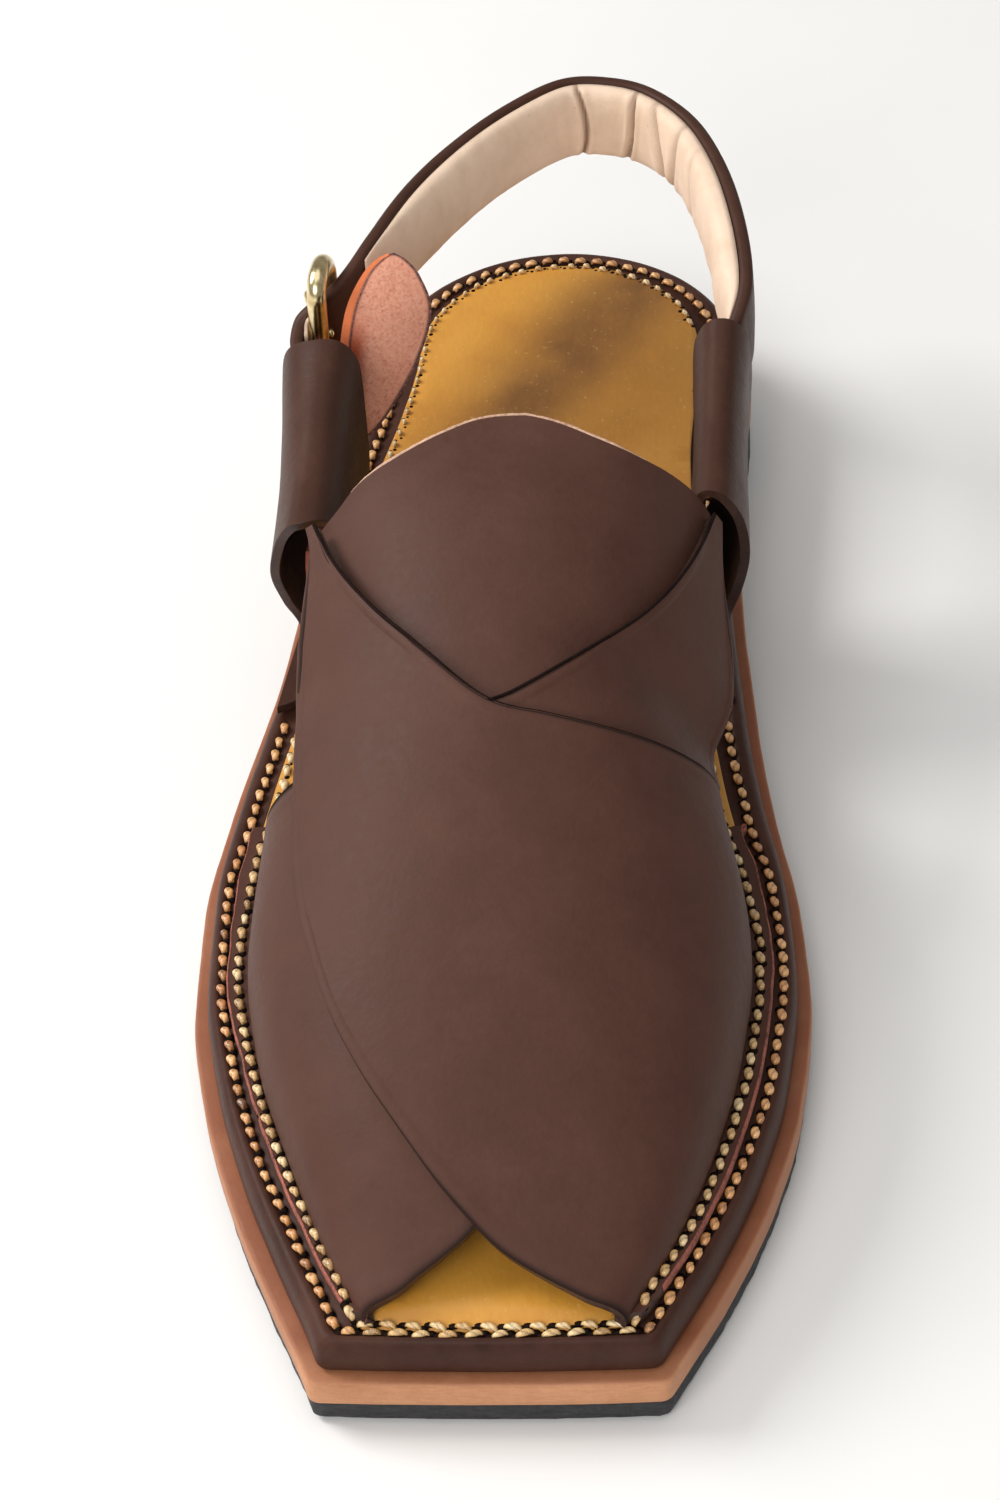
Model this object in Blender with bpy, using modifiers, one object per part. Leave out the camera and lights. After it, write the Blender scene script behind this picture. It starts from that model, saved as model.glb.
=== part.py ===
"""Peshawari chappal, right shoe: every sub-part as a closed solid, metres, +Z up, toe toward -Y.

The rim is a closed plate stack built on one outline. The upper is laid on a last surface
given by stations along the foot. Side loops, heel strap, buckle and guard follow.
"""
import math

import bmesh
import bpy
from mathutils import Vector

MM = 0.001

# ---------------------------------------------------------------- driving dimensions (mm)
SOLE_LENGTH = 289.0
HEEL_RADIUS = 38.5
HEEL_CENTRE_X = 5.5
HEEL_CENTRE_Y = SOLE_LENGTH / 2 - HEEL_RADIUS
TOE_Y = -SOLE_LENGTH / 2
TOE_CORNER = 1.8
OUTSOLE_THICK = 3.7
MIDSOLE_THICK = 5.4
RIM_THICK = 7.4
INSOLE_THICK = 1.1
SEAT_GAP = 0.3
HEEL_BREAST_Y = 68.0
LEDGE_INSET = 2.5
OUTSOLE_INSET = 0.5
INSOLE_INSET = 7.4
INSOLE_UNDER_VAMP = 17.2
SHEET = 1.9
TOE_CORNER_TRIM = 0.04
PANEL_LAP = 1.2
TONGUE_DROP = 2.5
BAND_SHEET = 1.8
STRAP_SHEET = 2.0
BUCKLE_WIRE = 2.8
BUCKLE_HEIGHT = 28.0
PRONG_WIRE = 1.8
GUARD_THICK = 1.5

MIDSOLE_Z = OUTSOLE_THICK + SEAT_GAP
RIM_Z = MIDSOLE_Z + MIDSOLE_THICK + SEAT_GAP
RIM_TOP = RIM_Z + RIM_THICK
SEAT_Z = RIM_TOP + SEAT_GAP

# sole outline: station Y, lateral X, medial X
OUTLINE = [
    (-144.5, -26.7, 30.1),
    (-137.0, -29.8, 33.7),
    (-124.0, -35.6, 39.9),
    (-105.0, -43.25, 47.1),
    (-85.0, -49.3, 51.9),
    (-62.0, -53.4, 53.9),
    (-39.0, -54.0, 52.3),
    (-16.0, -51.4, 48.1),
    (0.0, -48.5, 45.8),
    (16.0, -45.3, 44.2),
    (33.0, -43.1, 42.7),
    (50.0, -41.0, 41.9),
    (68.0, -37.8, 41.7),
    (86.0, -34.8, 42.9),
    (106.0, -33.0, 44.0),
]

# how far the sole lifts off its flat: station Y, lift
LIFT = [
    (-144.5, 0.7),
    (-128.0, 0.2),
    (-112.0, 0.0),
    (-50.0, 0.0),
    (-20.0, 1.2),
    (15.0, 4.0),
    (50.0, 6.8),
    (80.0, 8.0),
    (144.5, 8.0),
]

# last under the vamp: station Y, lateral foot X, medial foot X, ridge X, ridge height, roundness
LAST = [
    (-140.0, -16.3, 22.9, 1.6, 0.4, 2.0),
    (-133.0, -20.6, 26.1, 1.6, 4.5, 2.0),
    (-124.0, -24.9, 30.6, 1.6, 10.5, 2.0),
    (-105.0, -32.5, 37.3, 1.7, 21.0, 2.0),
    (-85.0, -39.0, 41.7, 1.9, 29.5, 2.0),
    (-62.0, -42.6, 43.8, 2.0, 37.5, 1.95),
    (-39.0, -41.8, 40.0, 2.0, 45.5, 1.95),
    (-28.0, -39.9, 36.4, 2.0, 49.2, 2.03),
    (-18.0, -40.9, 40.6, 2.0, 52.0, 2.15),
    (2.0, -42.0, 43.0, 2.0, 55.2, 2.45),
    (24.0, -43.7, 44.8, 2.0, 55.0, 2.8),
]

# raw edge of the panels' foot folds: station Y, inset on the lateral side, inset on the medial side
RAW_EDGE = [
    (-144.5, 8.1, 5.6),
    (-125.0, 8.1, 5.6),
    (-105.0, 8.0, 6.1),
    (-85.0, 7.7, 6.5),
    (-62.0, 6.8, 6.45),
    (-40.0, 7.2, 7.2),
    (-24.0, 7.6, 7.9),
    (0.0, 7.8, 8.2),
]

# medial panel (on top): station Y, across (-1 lateral foot, 1 medial foot)
UPPER_FRONT = [
    (-138.6, 0.985),
    (-137.4, 0.60),
    (-135.4, 0.39),
    (-132.0, 0.17),
    (-128.0, 0.01),
    (-120.0, -0.17),
    (-108.0, -0.32),
    (-98.0, -0.40),
    (-87.0, -0.45),
    (-64.0, -0.51),
    (-39.0, -0.54),
    (-28.0, -0.565),
    (-20.0, -0.54),
    (-4.0, -0.48),
    (3.0, -0.49),
]
UPPER_REAR = [
    (-26.5, 1.0),
    (-35.0, 0.80),
    (-39.5, 0.66),
    (-42.5, 0.50),
    (-44.5, 0.30),
    (-44.5, 0.13),
    (-42.5, -0.02),
    (-33.5, -0.16),
    (-21.5, -0.30),
    (-7.5, -0.41),
    (2.5, -0.465),
]
# lateral panel (below): station Y, across
UNDER_FRONT = [
    (-138.0, -0.90),
    (-135.3, -0.48),
    (-132.5, -0.3),
    (-130.0, -0.17),
    (-126.5, -0.04),
    (-119.0, 0.12),
    (-108.0, 0.28),
    (-95.0, 0.42),
    (-75.0, 0.54),
    (-55.0, 0.61),
    (-34.5, 0.74),
    (-27.0, 0.77),
    (-14.5, 0.735),
    (-1.0, 0.65),
    (11.0, 0.61),
]
UNDER_REAR = [
    (-26.0, -1.0),
    (-38.0, -0.80),
    (-43.0, -0.55),
    (-45.0, -0.28),
    (-42.0, -0.03),
    (-38.5, 0.09),
    (-29.5, 0.27),
    (-21.5, 0.37),
    (-10.0, 0.47),
    (1.0, 0.54),
    (11.0, 0.58),
]

# tongue top edge: station Y, across
TONGUE_TOP = [
    (5.5, -0.53),
    (6.5, -0.44),
    (9.3, -0.35),
    (12.0, -0.22),
    (15.5, -0.11),
    (18.3, -0.04),
    (19.3, 0.01),
    (18.3, 0.05),
    (14.8, 0.17),
    (13.2, 0.3),
    (13.2, 0.42),
    (13.5, 0.53),
    (13.0, 0.6),
]
TONGUE_LOW = [
    (1.0, -0.53),
    (-13.0, -0.46),
    (-30.0, -0.32),
    (-46.0, -0.15),
    (-54.0, 0.0),
    (-46.0, 0.15),
    (-30.0, 0.32),
    (-13.0, 0.46),
    (0.0, 0.56),
    (7.0, 0.6),
]

# side loop ribs: front Y X Z, rear Y X Z (Z None: on the rim)
LATERAL_LOOP = [
    (3.0, -43.3, None, 43.5, -37.2, None),
    (6.5, -38.9, None, 44.5, -33.2, None),
    (17.5, -39.3, 28.0, 47.0, -36.6, 32.0),
    (16.0, -41.8, 36.5, 50.0, -40.6, 43.0),
    (13.2, -42.9, 45.5, 53.0, -42.6, 54.0),
    (10.5, -41.2, 54.8, 54.8, -42.5, 62.0),
    (8.4, -38.4, 60.4, 53.6, -40.6, 66.8),
    (8.0, -35.4, 61.8, 52.0, -36.4, 69.4),
    (9.3, -31.8, 61.2, 51.6, -31.8, 69.6),
    (11.0, -29.0, 57.5, 52.0, -28.8, 66.3),
    (13.0, -27.9, 50.5, 52.5, -27.8, 60.0),
    (15.5, -28.0, 37.0, 51.6, -28.0, 40.0),
    (17.5, -30.9, 28.0, 49.5, -31.0, 30.0),
    (18.5, -34.4, 24.0, 48.0, -33.6, 26.0),
]
MEDIAL_LOOP = [
    (4.0, 41.0, None, 43.5, 37.3, None),
    (7.5, 37.0, None, 44.5, 33.2, None),
    (18.0, 40.1, 29.0, 48.0, 38.0, 32.0),
    (17.2, 42.4, 36.5, 52.0, 42.6, 43.0),
    (16.0, 44.1, 46.0, 55.0, 44.7, 54.0),
    (14.8, 43.4, 54.5, 57.0, 44.5, 62.0),
    (14.0, 41.0, 60.2, 56.2, 43.4, 66.4),
    (14.4, 38.4, 62.0, 55.4, 40.8, 69.5),
    (15.2, 35.8, 61.4, 55.6, 37.4, 69.3),
    (16.0, 34.0, 58.2, 56.4, 35.0, 66.0),
    (17.2, 33.0, 51.0, 56.6, 33.8, 60.0),
    (19.0, 32.8, 37.0, 55.6, 33.7, 40.0),
    (19.5, 33.0, 28.0, 52.0, 33.4, 30.0),
    (19.5, 33.8, 24.0, 49.0, 33.4, 26.0),
]

# heel strap, top edge of the outer face: Y, X, top Z, width
STRAP_PATH = [
    (38.0, 39.6, 58.6, 14.0),
    (46.0, 40.2, 60.2, 14.4),
    (53.0, 40.6, 62.2, 15.2),
    (57.6, 41.6, 64.2, 16.0),
    (61.8, 43.4, 66.4, 16.5),
    (69.5, 44.9, 69.4, 16.5),
    (84.0, 43.4, 72.2, 16.5),
    (101.0, 39.8, 73.4, 16.5),
    (115.2, 34.2, 74.0, 16.5),
    (125.8, 26.0, 74.0, 16.5),
    (130.2, 17.4, 74.0, 16.5),
    (130.2, 7.7, 74.0, 16.5),
    (122.4, -2.2, 74.0, 16.5),
    (110.6, -12.0, 74.0, 16.5),
    (95.4, -20.8, 74.0, 16.5),
    (79.0, -27.2, 74.0, 16.5),
    (71.4, -30.8, 72.4, 16.0),
    (67.2, -33.8, 70.8, 15.4),
    (65.0, -37.0, 69.2, 15.0),
    (62.6, -40.2, 67.2, 15.0),
    (59.6, -41.2, 65.0, 14.4),
    (57.2, -41.0, 63.6, 13.0),
]
# padding thickness along the strap: share of the path, thickness
PADDING_SWELL = [
    (0.0, 1.4),
    (0.11, 1.4),
    (0.15, 3.6),
    (0.2, 4.8),
    (0.3, 4.8),
    (0.45, 3.4),
    (0.6, 3.6),
    (0.74, 4.0),
    (0.82, 2.6),
    (0.88, 1.0),
    (1.0, 1.0),
]
PADDING_START = 0.11
PADDING_END = 0.87

# buckle: hinge bar and far bar centres Y X, mid height, lean of the bars in X over the height
HINGE_BAR = (60.8, -36.1)
FAR_BAR = (72.6, -35.2)
BUCKLE_MID_Z = 62.9
BUCKLE_LEAN = 0.8
BUCKLE_HINGE_CORNER = 3.4
BUCKLE_FAR_CORNER = 7.6
PRONG_ROOT = (62.4, -33.9, 62.4)
PRONG_TIP = (75.2, -39.6, 63.6)
PRONG_HOLE = 2.8

# buckle guard rows: left Y X Z, right Y X Z, belly toward the foot
GUARD_ROWS = [
    (49.0, -31.2, 50.0, 49.6, -30.2, 43.0, 0.0),
    (53.0, -31.2, 52.5, 53.4, -30.1, 43.0, 0.1),
    (56.0, -31.4, 56.0, 57.6, -24.5, 47.0, 0.6),
    (59.5, -32.4, 60.5, 61.5, -18.3, 56.5, 1.6),
    (63.5, -31.0, 67.5, 64.5, -15.0, 66.0, 1.8),
    (66.5, -27.8, 73.0, 67.0, -16.8, 72.4, 1.2),
    (68.2, -25.0, 75.4, 68.6, -19.4, 75.0, 0.6),
]

COLOURS = {
    "rubber": (0.018, 0.018, 0.020),
    "tan": (0.42, 0.19, 0.10),
    "brown": (0.085, 0.048, 0.036),
    "mustard": (0.58, 0.32, 0.10),
    "beige": (0.72, 0.56, 0.42),
    "brass": (0.80, 0.60, 0.28),
    "suede": (0.52, 0.23, 0.16),
}


# ---------------------------------------------------------------- curves through named rows
def knot_slopes(xs, ys, flat_end):
    """Slopes of a smooth curve that never overshoots its own rows."""
    steps = [(ys[i + 1] - ys[i]) / (xs[i + 1] - xs[i]) for i in range(len(xs) - 1)]
    slopes = [steps[0]]
    for i in range(1, len(xs) - 1):
        if steps[i - 1] * steps[i] <= 0:
            slopes.append(0.0)
            continue
        before = xs[i] - xs[i - 1]
        after = xs[i + 1] - xs[i]
        first = 2 * after + before
        second = after + 2 * before
        slopes.append((first + second) / (first / steps[i - 1] + second / steps[i]))
    slopes.append(0.0 if flat_end else steps[-1])
    return slopes


def follow(rows, column, at, flat_end=False):
    """Value of one column of a table at a station between its rows."""
    xs = [row[0] for row in rows]
    ys = [row[column] for row in rows]
    slopes = knot_slopes(xs, ys, flat_end)
    at = min(max(at, xs[0]), xs[-1])
    i = max(k for k in range(len(xs) - 1) if xs[k] <= at)
    span = xs[i + 1] - xs[i]
    t = (at - xs[i]) / span
    start = (2 * t**3 - 3 * t**2 + 1) * ys[i] + (t**3 - 2 * t**2 + t) * span * slopes[i]
    return start + (3 * t**2 - 2 * t**3) * ys[i + 1] + (t**3 - t**2) * span * slopes[i + 1]


def smooth_path(points, count):
    """Evenly spaced points along a rounded path through the given points."""
    knots = [Vector(p) for p in points]
    knots = [2 * knots[0] - knots[1]] + knots + [2 * knots[-1] - knots[-2]]
    fine = []
    for i in range(1, len(knots) - 2):
        a, b, c, d = knots[i - 1:i + 3]
        for s in range(16):
            t = s / 16
            bend = (2 * a - 5 * b + 4 * c - d) * t * t + (3 * b - a - 3 * c + d) * t**3
            fine.append(0.5 * (2 * b + (c - a) * t + bend))
    fine.append(knots[-2])
    gone = [0.0]
    for i in range(1, len(fine)):
        gone.append(gone[-1] + (fine[i] - fine[i - 1]).length)
    path = []
    place = 0
    for k in range(count + 1):
        want = gone[-1] * k / count
        while place < len(gone) - 2 and gone[place + 1] < want:
            place += 1
        share = (want - gone[place]) / (gone[place + 1] - gone[place])
        path.append(fine[place].lerp(fine[place + 1], min(max(share, 0.0), 1.0)))
    return path


# ---------------------------------------------------------------- objects
def collection(name, hidden=False):
    made = bpy.data.collections.new(name)
    bpy.context.scene.collection.children.link(made)
    made.hide_render = hidden
    return made


def material(name, colour, metallic=0.0, roughness=0.6):
    made = bpy.data.materials.new(name)
    made.use_nodes = True
    shader = made.node_tree.nodes["Principled BSDF"]
    shader.inputs["Base Color"].default_value = (*COLOURS[colour], 1.0)
    shader.inputs["Metallic"].default_value = metallic
    shader.inputs["Roughness"].default_value = roughness
    made.diffuse_color = (*COLOURS[colour], 1.0)
    return made


def solid(name, points, faces, where, finish):
    mesh = bpy.data.meshes.new(name)
    mesh.from_pydata([tuple(c * MM for c in p) for p in points], [], faces)
    build = bmesh.new()
    build.from_mesh(mesh)
    bmesh.ops.remove_doubles(build, verts=build.verts, dist=1e-6)
    bmesh.ops.recalc_face_normals(build, faces=build.faces)
    build.to_mesh(mesh)
    build.free()
    mesh.materials.append(finish)
    made = bpy.data.objects.new(name, mesh)
    where.objects.link(made)
    return made


def sheet(name, grid, outward, where, finish, thick, side, even=True):
    """A grid of points as a leather sheet: Solidify gives it its wall."""
    rows = len(grid)
    columns = len(grid[0])
    points = [p for row in grid for p in row]
    faces = []
    for i in range(rows - 1):
        for j in range(columns - 1):
            a = i * columns + j
            faces.append((a, a + 1, a + columns + 1, a + columns))
    mesh = bpy.data.meshes.new(name)
    mesh.from_pydata([tuple(c * MM for c in p) for p in points], [], faces)
    build = bmesh.new()
    build.from_mesh(mesh)
    build.normal_update()
    middle = build.faces[:] and sorted(build.faces, key=lambda f: (f.calc_center_median() - outward).length)[0]
    if middle.normal.dot(middle.calc_center_median() - outward) < 0:
        bmesh.ops.reverse_faces(build, faces=build.faces)
    build.to_mesh(mesh)
    build.free()
    mesh.materials.append(finish)
    made = bpy.data.objects.new(name, mesh)
    where.objects.link(made)
    wall = made.modifiers.new("wall", "SOLIDIFY")
    wall.thickness = thick * MM
    wall.offset = side
    wall.use_even_offset = even
    wall.use_rim = True
    return made


# ---------------------------------------------------------------- sole
def lift(station):
    return follow(LIFT, 1, station, True)


def sole_edge(station, side):
    return follow(OUTLINE, 1 if side < 0 else 2, station, True)


def raw_edge(station, side):
    """X of the raw edge of a panel's foot fold."""
    edge = sole_edge(station, side)
    slope = (sole_edge(station + 0.5, side) - edge) / 0.5
    return edge - side * follow(RAW_EDGE, 1 if side < 0 else 2, station) * math.hypot(1.0, slope)


def side_line(side, inset):
    """One side of the sole moved in by its inset, from the toe line to the heel curve."""
    count = 60
    start = TOE_Y
    line = []
    for i in range(count + 1):
        y = start + (HEEL_CENTRE_Y - start) * i / count
        step = 0.5
        high = min(y + step, HEEL_CENTRE_Y)
        low = max(y - step, start)
        slope = (sole_edge(high, side) - sole_edge(low, side)) / (high - low)
        if i == count:
            slope = 0.0
        size = math.hypot(1.0, slope)
        move = inset(y)
        line.append((sole_edge(y, side) - side * move / size, y + side * slope * move / size))
    toe = TOE_Y + inset(TOE_Y)
    first = next(k for k in range(count) if line[k + 1][1] > toe)
    a, b = line[first], line[first + 1]
    share = (toe - a[1]) / (b[1] - a[1])
    corner = (a[0] + (b[0] - a[0]) * share, toe)
    return corner, [corner] + line[first + 1:]


def at_height(line, y):
    for a, b in zip(line, line[1:]):
        if a[1] <= y <= b[1]:
            share = (y - a[1]) / (b[1] - a[1])
            return (a[0] + (b[0] - a[0]) * share, y)
    return line[-1]


def rim_line(side, inset):
    """Points round one side of the sole: toe line, toe corner, side, heel curve."""
    depth = inset if callable(inset) else (lambda y: inset)
    corner, line = side_line(side, depth)
    first = (corner[0] - side * TOE_CORNER, corner[1])
    last = at_height(line, corner[1] + TOE_CORNER * 0.9)
    points = [first]
    for t in (0.35, 0.7):
        x = (1 - t)**2 * first[0] + 2 * t * (1 - t) * corner[0] + t * t * last[0]
        y = (1 - t)**2 * first[1] + 2 * t * (1 - t) * corner[1] + t * t * last[1]
        points.append((x, y))
    count = 24
    heights = [last[1] + (HEEL_CENTRE_Y - last[1]) * i / count for i in range(count)]
    heights += [HEEL_BREAST_Y, HEEL_BREAST_Y + 1.5]
    for y in sorted(heights):
        points.append(at_height(line, y))
    turn = math.radians(88)
    steps = 12
    for i in range(steps + 1):
        angle = turn * i / steps
        radius = HEEL_RADIUS - depth(HEEL_CENTRE_Y + 20)
        x = HEEL_CENTRE_X + side * radius * math.cos(angle)
        points.append((x, HEEL_CENTRE_Y + radius * math.sin(angle)))
    return points


def under_heel(y):
    """Underside of the outsole: follows the lift, then drops to the ground at the heel."""
    if y <= HEEL_BREAST_Y:
        return lift(y)
    return lift(y) * max(0.0, 1 - (y - HEEL_BREAST_Y) / 1.5)


def plate(name, profile, where, finish, base=None):
    """A layer of the sole from rows of inset and height, lofted from toe to heel."""
    sides = {}
    for side in (-1, 1):
        sides[side] = [rim_line(side, row[0]) for row in profile]
    stations = len(sides[-1][0])
    rows = len(profile)
    points = []
    for k in range(stations):
        ring = []
        for side in (-1, 1):
            part = []
            for j, row in enumerate(profile):
                x, y = sides[side][j][k]
                z = row[1] + lift(y)
                if base is not None and row[1] < 1.0:
                    z = base(y) + row[1]
                part.append((x, y, z))
            ring += part if side < 0 else part[::-1]
        points += ring
    size = 2 * rows
    faces = []
    for k in range(stations - 1):
        for j in range(size):
            n = (j + 1) % size
            faces.append((k * size + j, k * size + n, (k + 1) * size + n, (k + 1) * size + j))
    for k in (0, stations - 1):
        for j in range(rows - 1):
            a = k * size + j
            b = k * size + size - 1 - j
            faces.append((a, a + 1, b - 1, b))
    return solid(name, points, faces, where, finish)


def insole_inset(y):
    """The insole stops under the vamp and under the loops' feet."""
    rows = [
        (TOE_Y, INSOLE_INSET),
        (TOE_Y + 0.9, INSOLE_UNDER_VAMP),
        (-138.0, INSOLE_UNDER_VAMP),
        (44.0, INSOLE_UNDER_VAMP),
        (56.0, INSOLE_INSET + 0.6),
        (SOLE_LENGTH / 2, INSOLE_INSET),
    ]
    return follow(rows, 1, y)


# ---------------------------------------------------------------- last
def last_at(station, across, out=0.0):
    """Point over the last; across runs -1 (lateral foot) to 1 (medial foot)."""
    def bare(y, t):
        foot = follow(LAST, 1 if t < 0 else 2, y)
        ridge = follow(LAST, 3, y)
        power = 2.0 / follow(LAST, 5, y)
        angle = min(abs(t), 1.0) * math.pi / 2
        x = ridge + (foot - ridge) * math.sin(angle)**power
        z = SEAT_Z + lift(y) + follow(LAST, 4, y) * max(math.cos(angle), 0.0)**power
        return Vector((x, y, z))

    here = bare(station, across)
    if not out:
        return here
    nudge = 0.02
    along = bare(station + 0.6, across) - bare(station - 0.6, across)
    sideways = bare(station, min(across + nudge, 1.0)) - bare(station, max(across - nudge, -1.0))
    normal = sideways.cross(along).normalized()
    if normal.z < 0:
        normal.negate()
    return here + normal * out


def blend(a, b, share):
    return tuple(p + (q - p) * share for p, q in zip(a, b))


def patch(base, tip, front, rear, rows, columns):
    """Fills four edges given in last coordinates: rows from base to tip, columns front to rear."""
    grid = []
    for i in range(rows + 1):
        u = i / rows
        line = []
        for j in range(columns + 1):
            v = j / columns
            edge = blend(front[i], rear[i], v)
            ends = blend(base[j], tip[j], u)
            low = blend(base[0], base[-1], v)
            high = blend(tip[0], tip[-1], v)
            lean = blend(low, high, u)
            line.append(tuple(edge[k] + ends[k] - lean[k] for k in range(2)))
        grid.append(line)
    return grid


def edge_points(rows, count, start_share=0.0):
    """Evenly spaced last coordinates along an edge, with across weighed like millimetres."""
    path = smooth_path([(y, t * 55.0, 0.0) for y, t in rows], count)
    return [(p.x, p.y / 55.0) for p in path]


def tuck(y, t):
    """How far a panel's foot is drawn in where the upper narrows at the waist."""
    along = min(1.0, max(0.0, (y + 72.0) / 36.0))
    near = min(1.0, (1.0 - abs(t)) / 0.45)
    return (1.3 if t > 0 else 0.2) * along * along * (3.0 - 2.0 * along) * (1.0 - near * near * (3.0 - 2.0 * near))


def panel(name, side, where, finish):
    """One vamp panel: stitched down along one side of the sole, rising to the other instep corner."""
    rows, columns = 20, 14
    lean = 1 if side > 0 else -1
    front = edge_points(UPPER_FRONT if side > 0 else UNDER_FRONT, rows)
    rear = edge_points(UPPER_REAR if side > 0 else UNDER_REAR, rows)
    corner = 0.0 if side > 0 else TOE_CORNER_TRIM
    foot = []
    for j in range(columns + 1):
        share = j / columns
        trim = corner * max(0.0, 1.0 - 5.0 * share)
        foot.append((front[0][0] + (rear[0][0] - front[0][0]) * share, lean * (1.0 - trim)))
    tip = [blend(front[-1], rear[-1], j / columns) for j in range(columns + 1)]
    front[0] = foot[0]
    cells = patch(foot, tip, front, rear, rows, columns)
    grid = []
    flange = []
    for y, t in foot:
        here = last_at(y, t) - Vector((lean * (SHEET + tuck(y, t)), 0.0, 0.0))
        run = last_at(min(y + 1, -20), t) - last_at(max(y - 1, -140), t)
        run.z = 0
        run.normalize()
        out = Vector((run.y, -run.x, 0)) * side
        place = here + out * abs(raw_edge(y, side) - here.x) * abs(out.x)
        place.y += 2.4 * math.exp(-(y - foot[0][0]) / 2.5)
        flange.append((place.x, place.y, SEAT_Z + lift(place.y)))
    grid.append(flange)
    for line in cells:
        row = []
        for y, t in line:
            ride = PANEL_LAP if side > 0 else 0.0
            ride *= min(1.0, max(0.0, (1.0 - t * lean) / 0.4))
            rise = min(1.0, (1.0 - t * lean) / 0.35)
            draw = SHEET * (1.0 - rise * rise * (3.0 - 2.0 * rise))
            p = last_at(y, t, ride) - Vector((lean * (draw + tuck(y, t)), 0.0, 0.0))
            row.append(tuple(p))
        grid.append(row)
    return sheet(name, grid, Vector((0, -40 * MM, 20 * MM)), where, finish, SHEET, 1)


def tongue(where, finish):
    rows, columns = 10, 22
    top = edge_points(TONGUE_TOP, columns)
    low = edge_points(TONGUE_LOW, columns)
    grid = []
    for i in range(rows + 1):
        share = i / rows
        line = [blend(a, b, share) for a, b in zip(top, low)]
        grid.append([tuple(last_at(y, t, -TONGUE_DROP)) for y, t in line])
    return sheet("tongue", grid, Vector((0, 0, 20 * MM)), where, finish, SHEET, 1)


# ---------------------------------------------------------------- side loops
def side_loop(name, table, where, finish):
    """A folded loop: foot flap on the rim, outer wall, rounded top, free inner wall."""
    def standing(y, x, z):
        return (x, y, SEAT_Z + BAND_SHEET + lift(y) if z is None else z)

    fronts = [standing(*row[:3]) for row in table]
    rears = [standing(*row[3:]) for row in table]
    ribs = 34
    front = smooth_path(fronts, ribs)
    rear = smooth_path(rears, ribs)
    steps = 5
    grid = []
    for a, b in zip(front, rear):
        line = []
        for k in range(steps + 1):
            x, y, z = a.lerp(b, k / steps)
            line.append((x, y, max(z, SEAT_Z + BAND_SHEET + lift(y))))
        grid.append(line)
    middle = sum((Vector(p) for p in fronts[2:] + rears[2:]), Vector()) / (2 * len(table) - 4)
    return sheet(name, grid, middle * MM, where, finish, BAND_SHEET, -1, False)


# ---------------------------------------------------------------- heel strap
def strap_frames(count):
    """Along the strap: top outer point, inward direction, width."""
    path = smooth_path([(x, y, z) for y, x, z, w in STRAP_PATH], count)
    widths = smooth_path([(w, y, x) for y, x, z, w in STRAP_PATH], count)
    frames = []
    for i, p in enumerate(path):
        run = path[min(i + 1, count)] - path[max(i - 1, 0)]
        run.z = 0
        run.normalize()
        inward = Vector((-run.y, run.x, 0))
        frames.append((p, inward, widths[i].x))
    return frames


def strap_loft(name, sections, where, finish):
    size = len(sections[0])
    points = [tuple(p) for ring in sections for p in ring]
    faces = []
    for k in range(len(sections) - 1):
        for j in range(size):
            n = (j + 1) % size
            faces.append((k * size + j, k * size + n, (k + 1) * size + n, (k + 1) * size + j))
    faces.append(tuple(range(size)))
    faces.append(tuple(range((len(sections) - 1) * size, len(sections) * size)))
    return solid(name, points, faces, where, finish)


def heel_strap(where, leather, lining):
    count = 72
    frames = strap_frames(count)
    up = Vector((0, 0, 1))
    outer = []
    for p, inward, width in frames:
        soft = 0.5
        low = p - up * width
        outer.append([
            p + inward * soft,
            p + inward * (STRAP_SHEET - soft),
            p + inward * STRAP_SHEET - up * soft,
            low + inward * STRAP_SHEET + up * soft,
            low + inward * (STRAP_SHEET - soft),
            low + inward * soft,
            low + up * soft,
            p - up * soft,
        ])
    strap = strap_loft("heel_strap", outer, where, leather)
    inner = []
    for i, (p, inward, width) in enumerate(frames):
        share = i / count
        if share < PADDING_START or share > PADDING_END:
            continue
        thick = follow(PADDING_SWELL, 1, share)
        start = p + inward * (STRAP_SHEET + SEAT_GAP)
        low = start - up * width
        inner.append([
            start - up * 0.4,
            start + inward * thick * 0.55 - up * 0.5,
            start + inward * thick * 0.92 - up * 2.4,
            start + inward * thick - up * width * 0.5,
            low + inward * thick * 0.92 + up * 2.4,
            low + inward * thick * 0.55 + up * 0.5,
            low + up * 0.4,
        ])
    strap_loft("heel_strap_padding", inner, where, lining)
    return strap


# ---------------------------------------------------------------- buckle
def rod(name, path, radius, closed, where, finish):
    """A round wire along a path."""
    sides = 10
    sections = []
    count = len(path)
    for i, p in enumerate(path):
        ahead = path[(i + 1) % count] if closed or i < count - 1 else p
        behind = path[i - 1] if closed or i > 0 else p
        run = (ahead - behind).normalized()
        across = run.cross(Vector((1, 0.15, 0))).normalized()
        other = run.cross(across)
        ring = []
        for k in range(sides):
            angle = 2 * math.pi * k / sides
            ring.append(p + (across * math.cos(angle) + other * math.sin(angle)) * radius)
        sections.append(ring)
    if not closed:
        return strap_loft(name, sections, where, finish)
    points = [tuple(p) for ring in sections for p in ring]
    faces = []
    for k in range(count):
        m = (k + 1) % count
        for j in range(sides):
            n = (j + 1) % sides
            faces.append((k * sides + j, k * sides + n, m * sides + n, m * sides + j))
    return solid(name, points, faces, where, finish)


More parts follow.
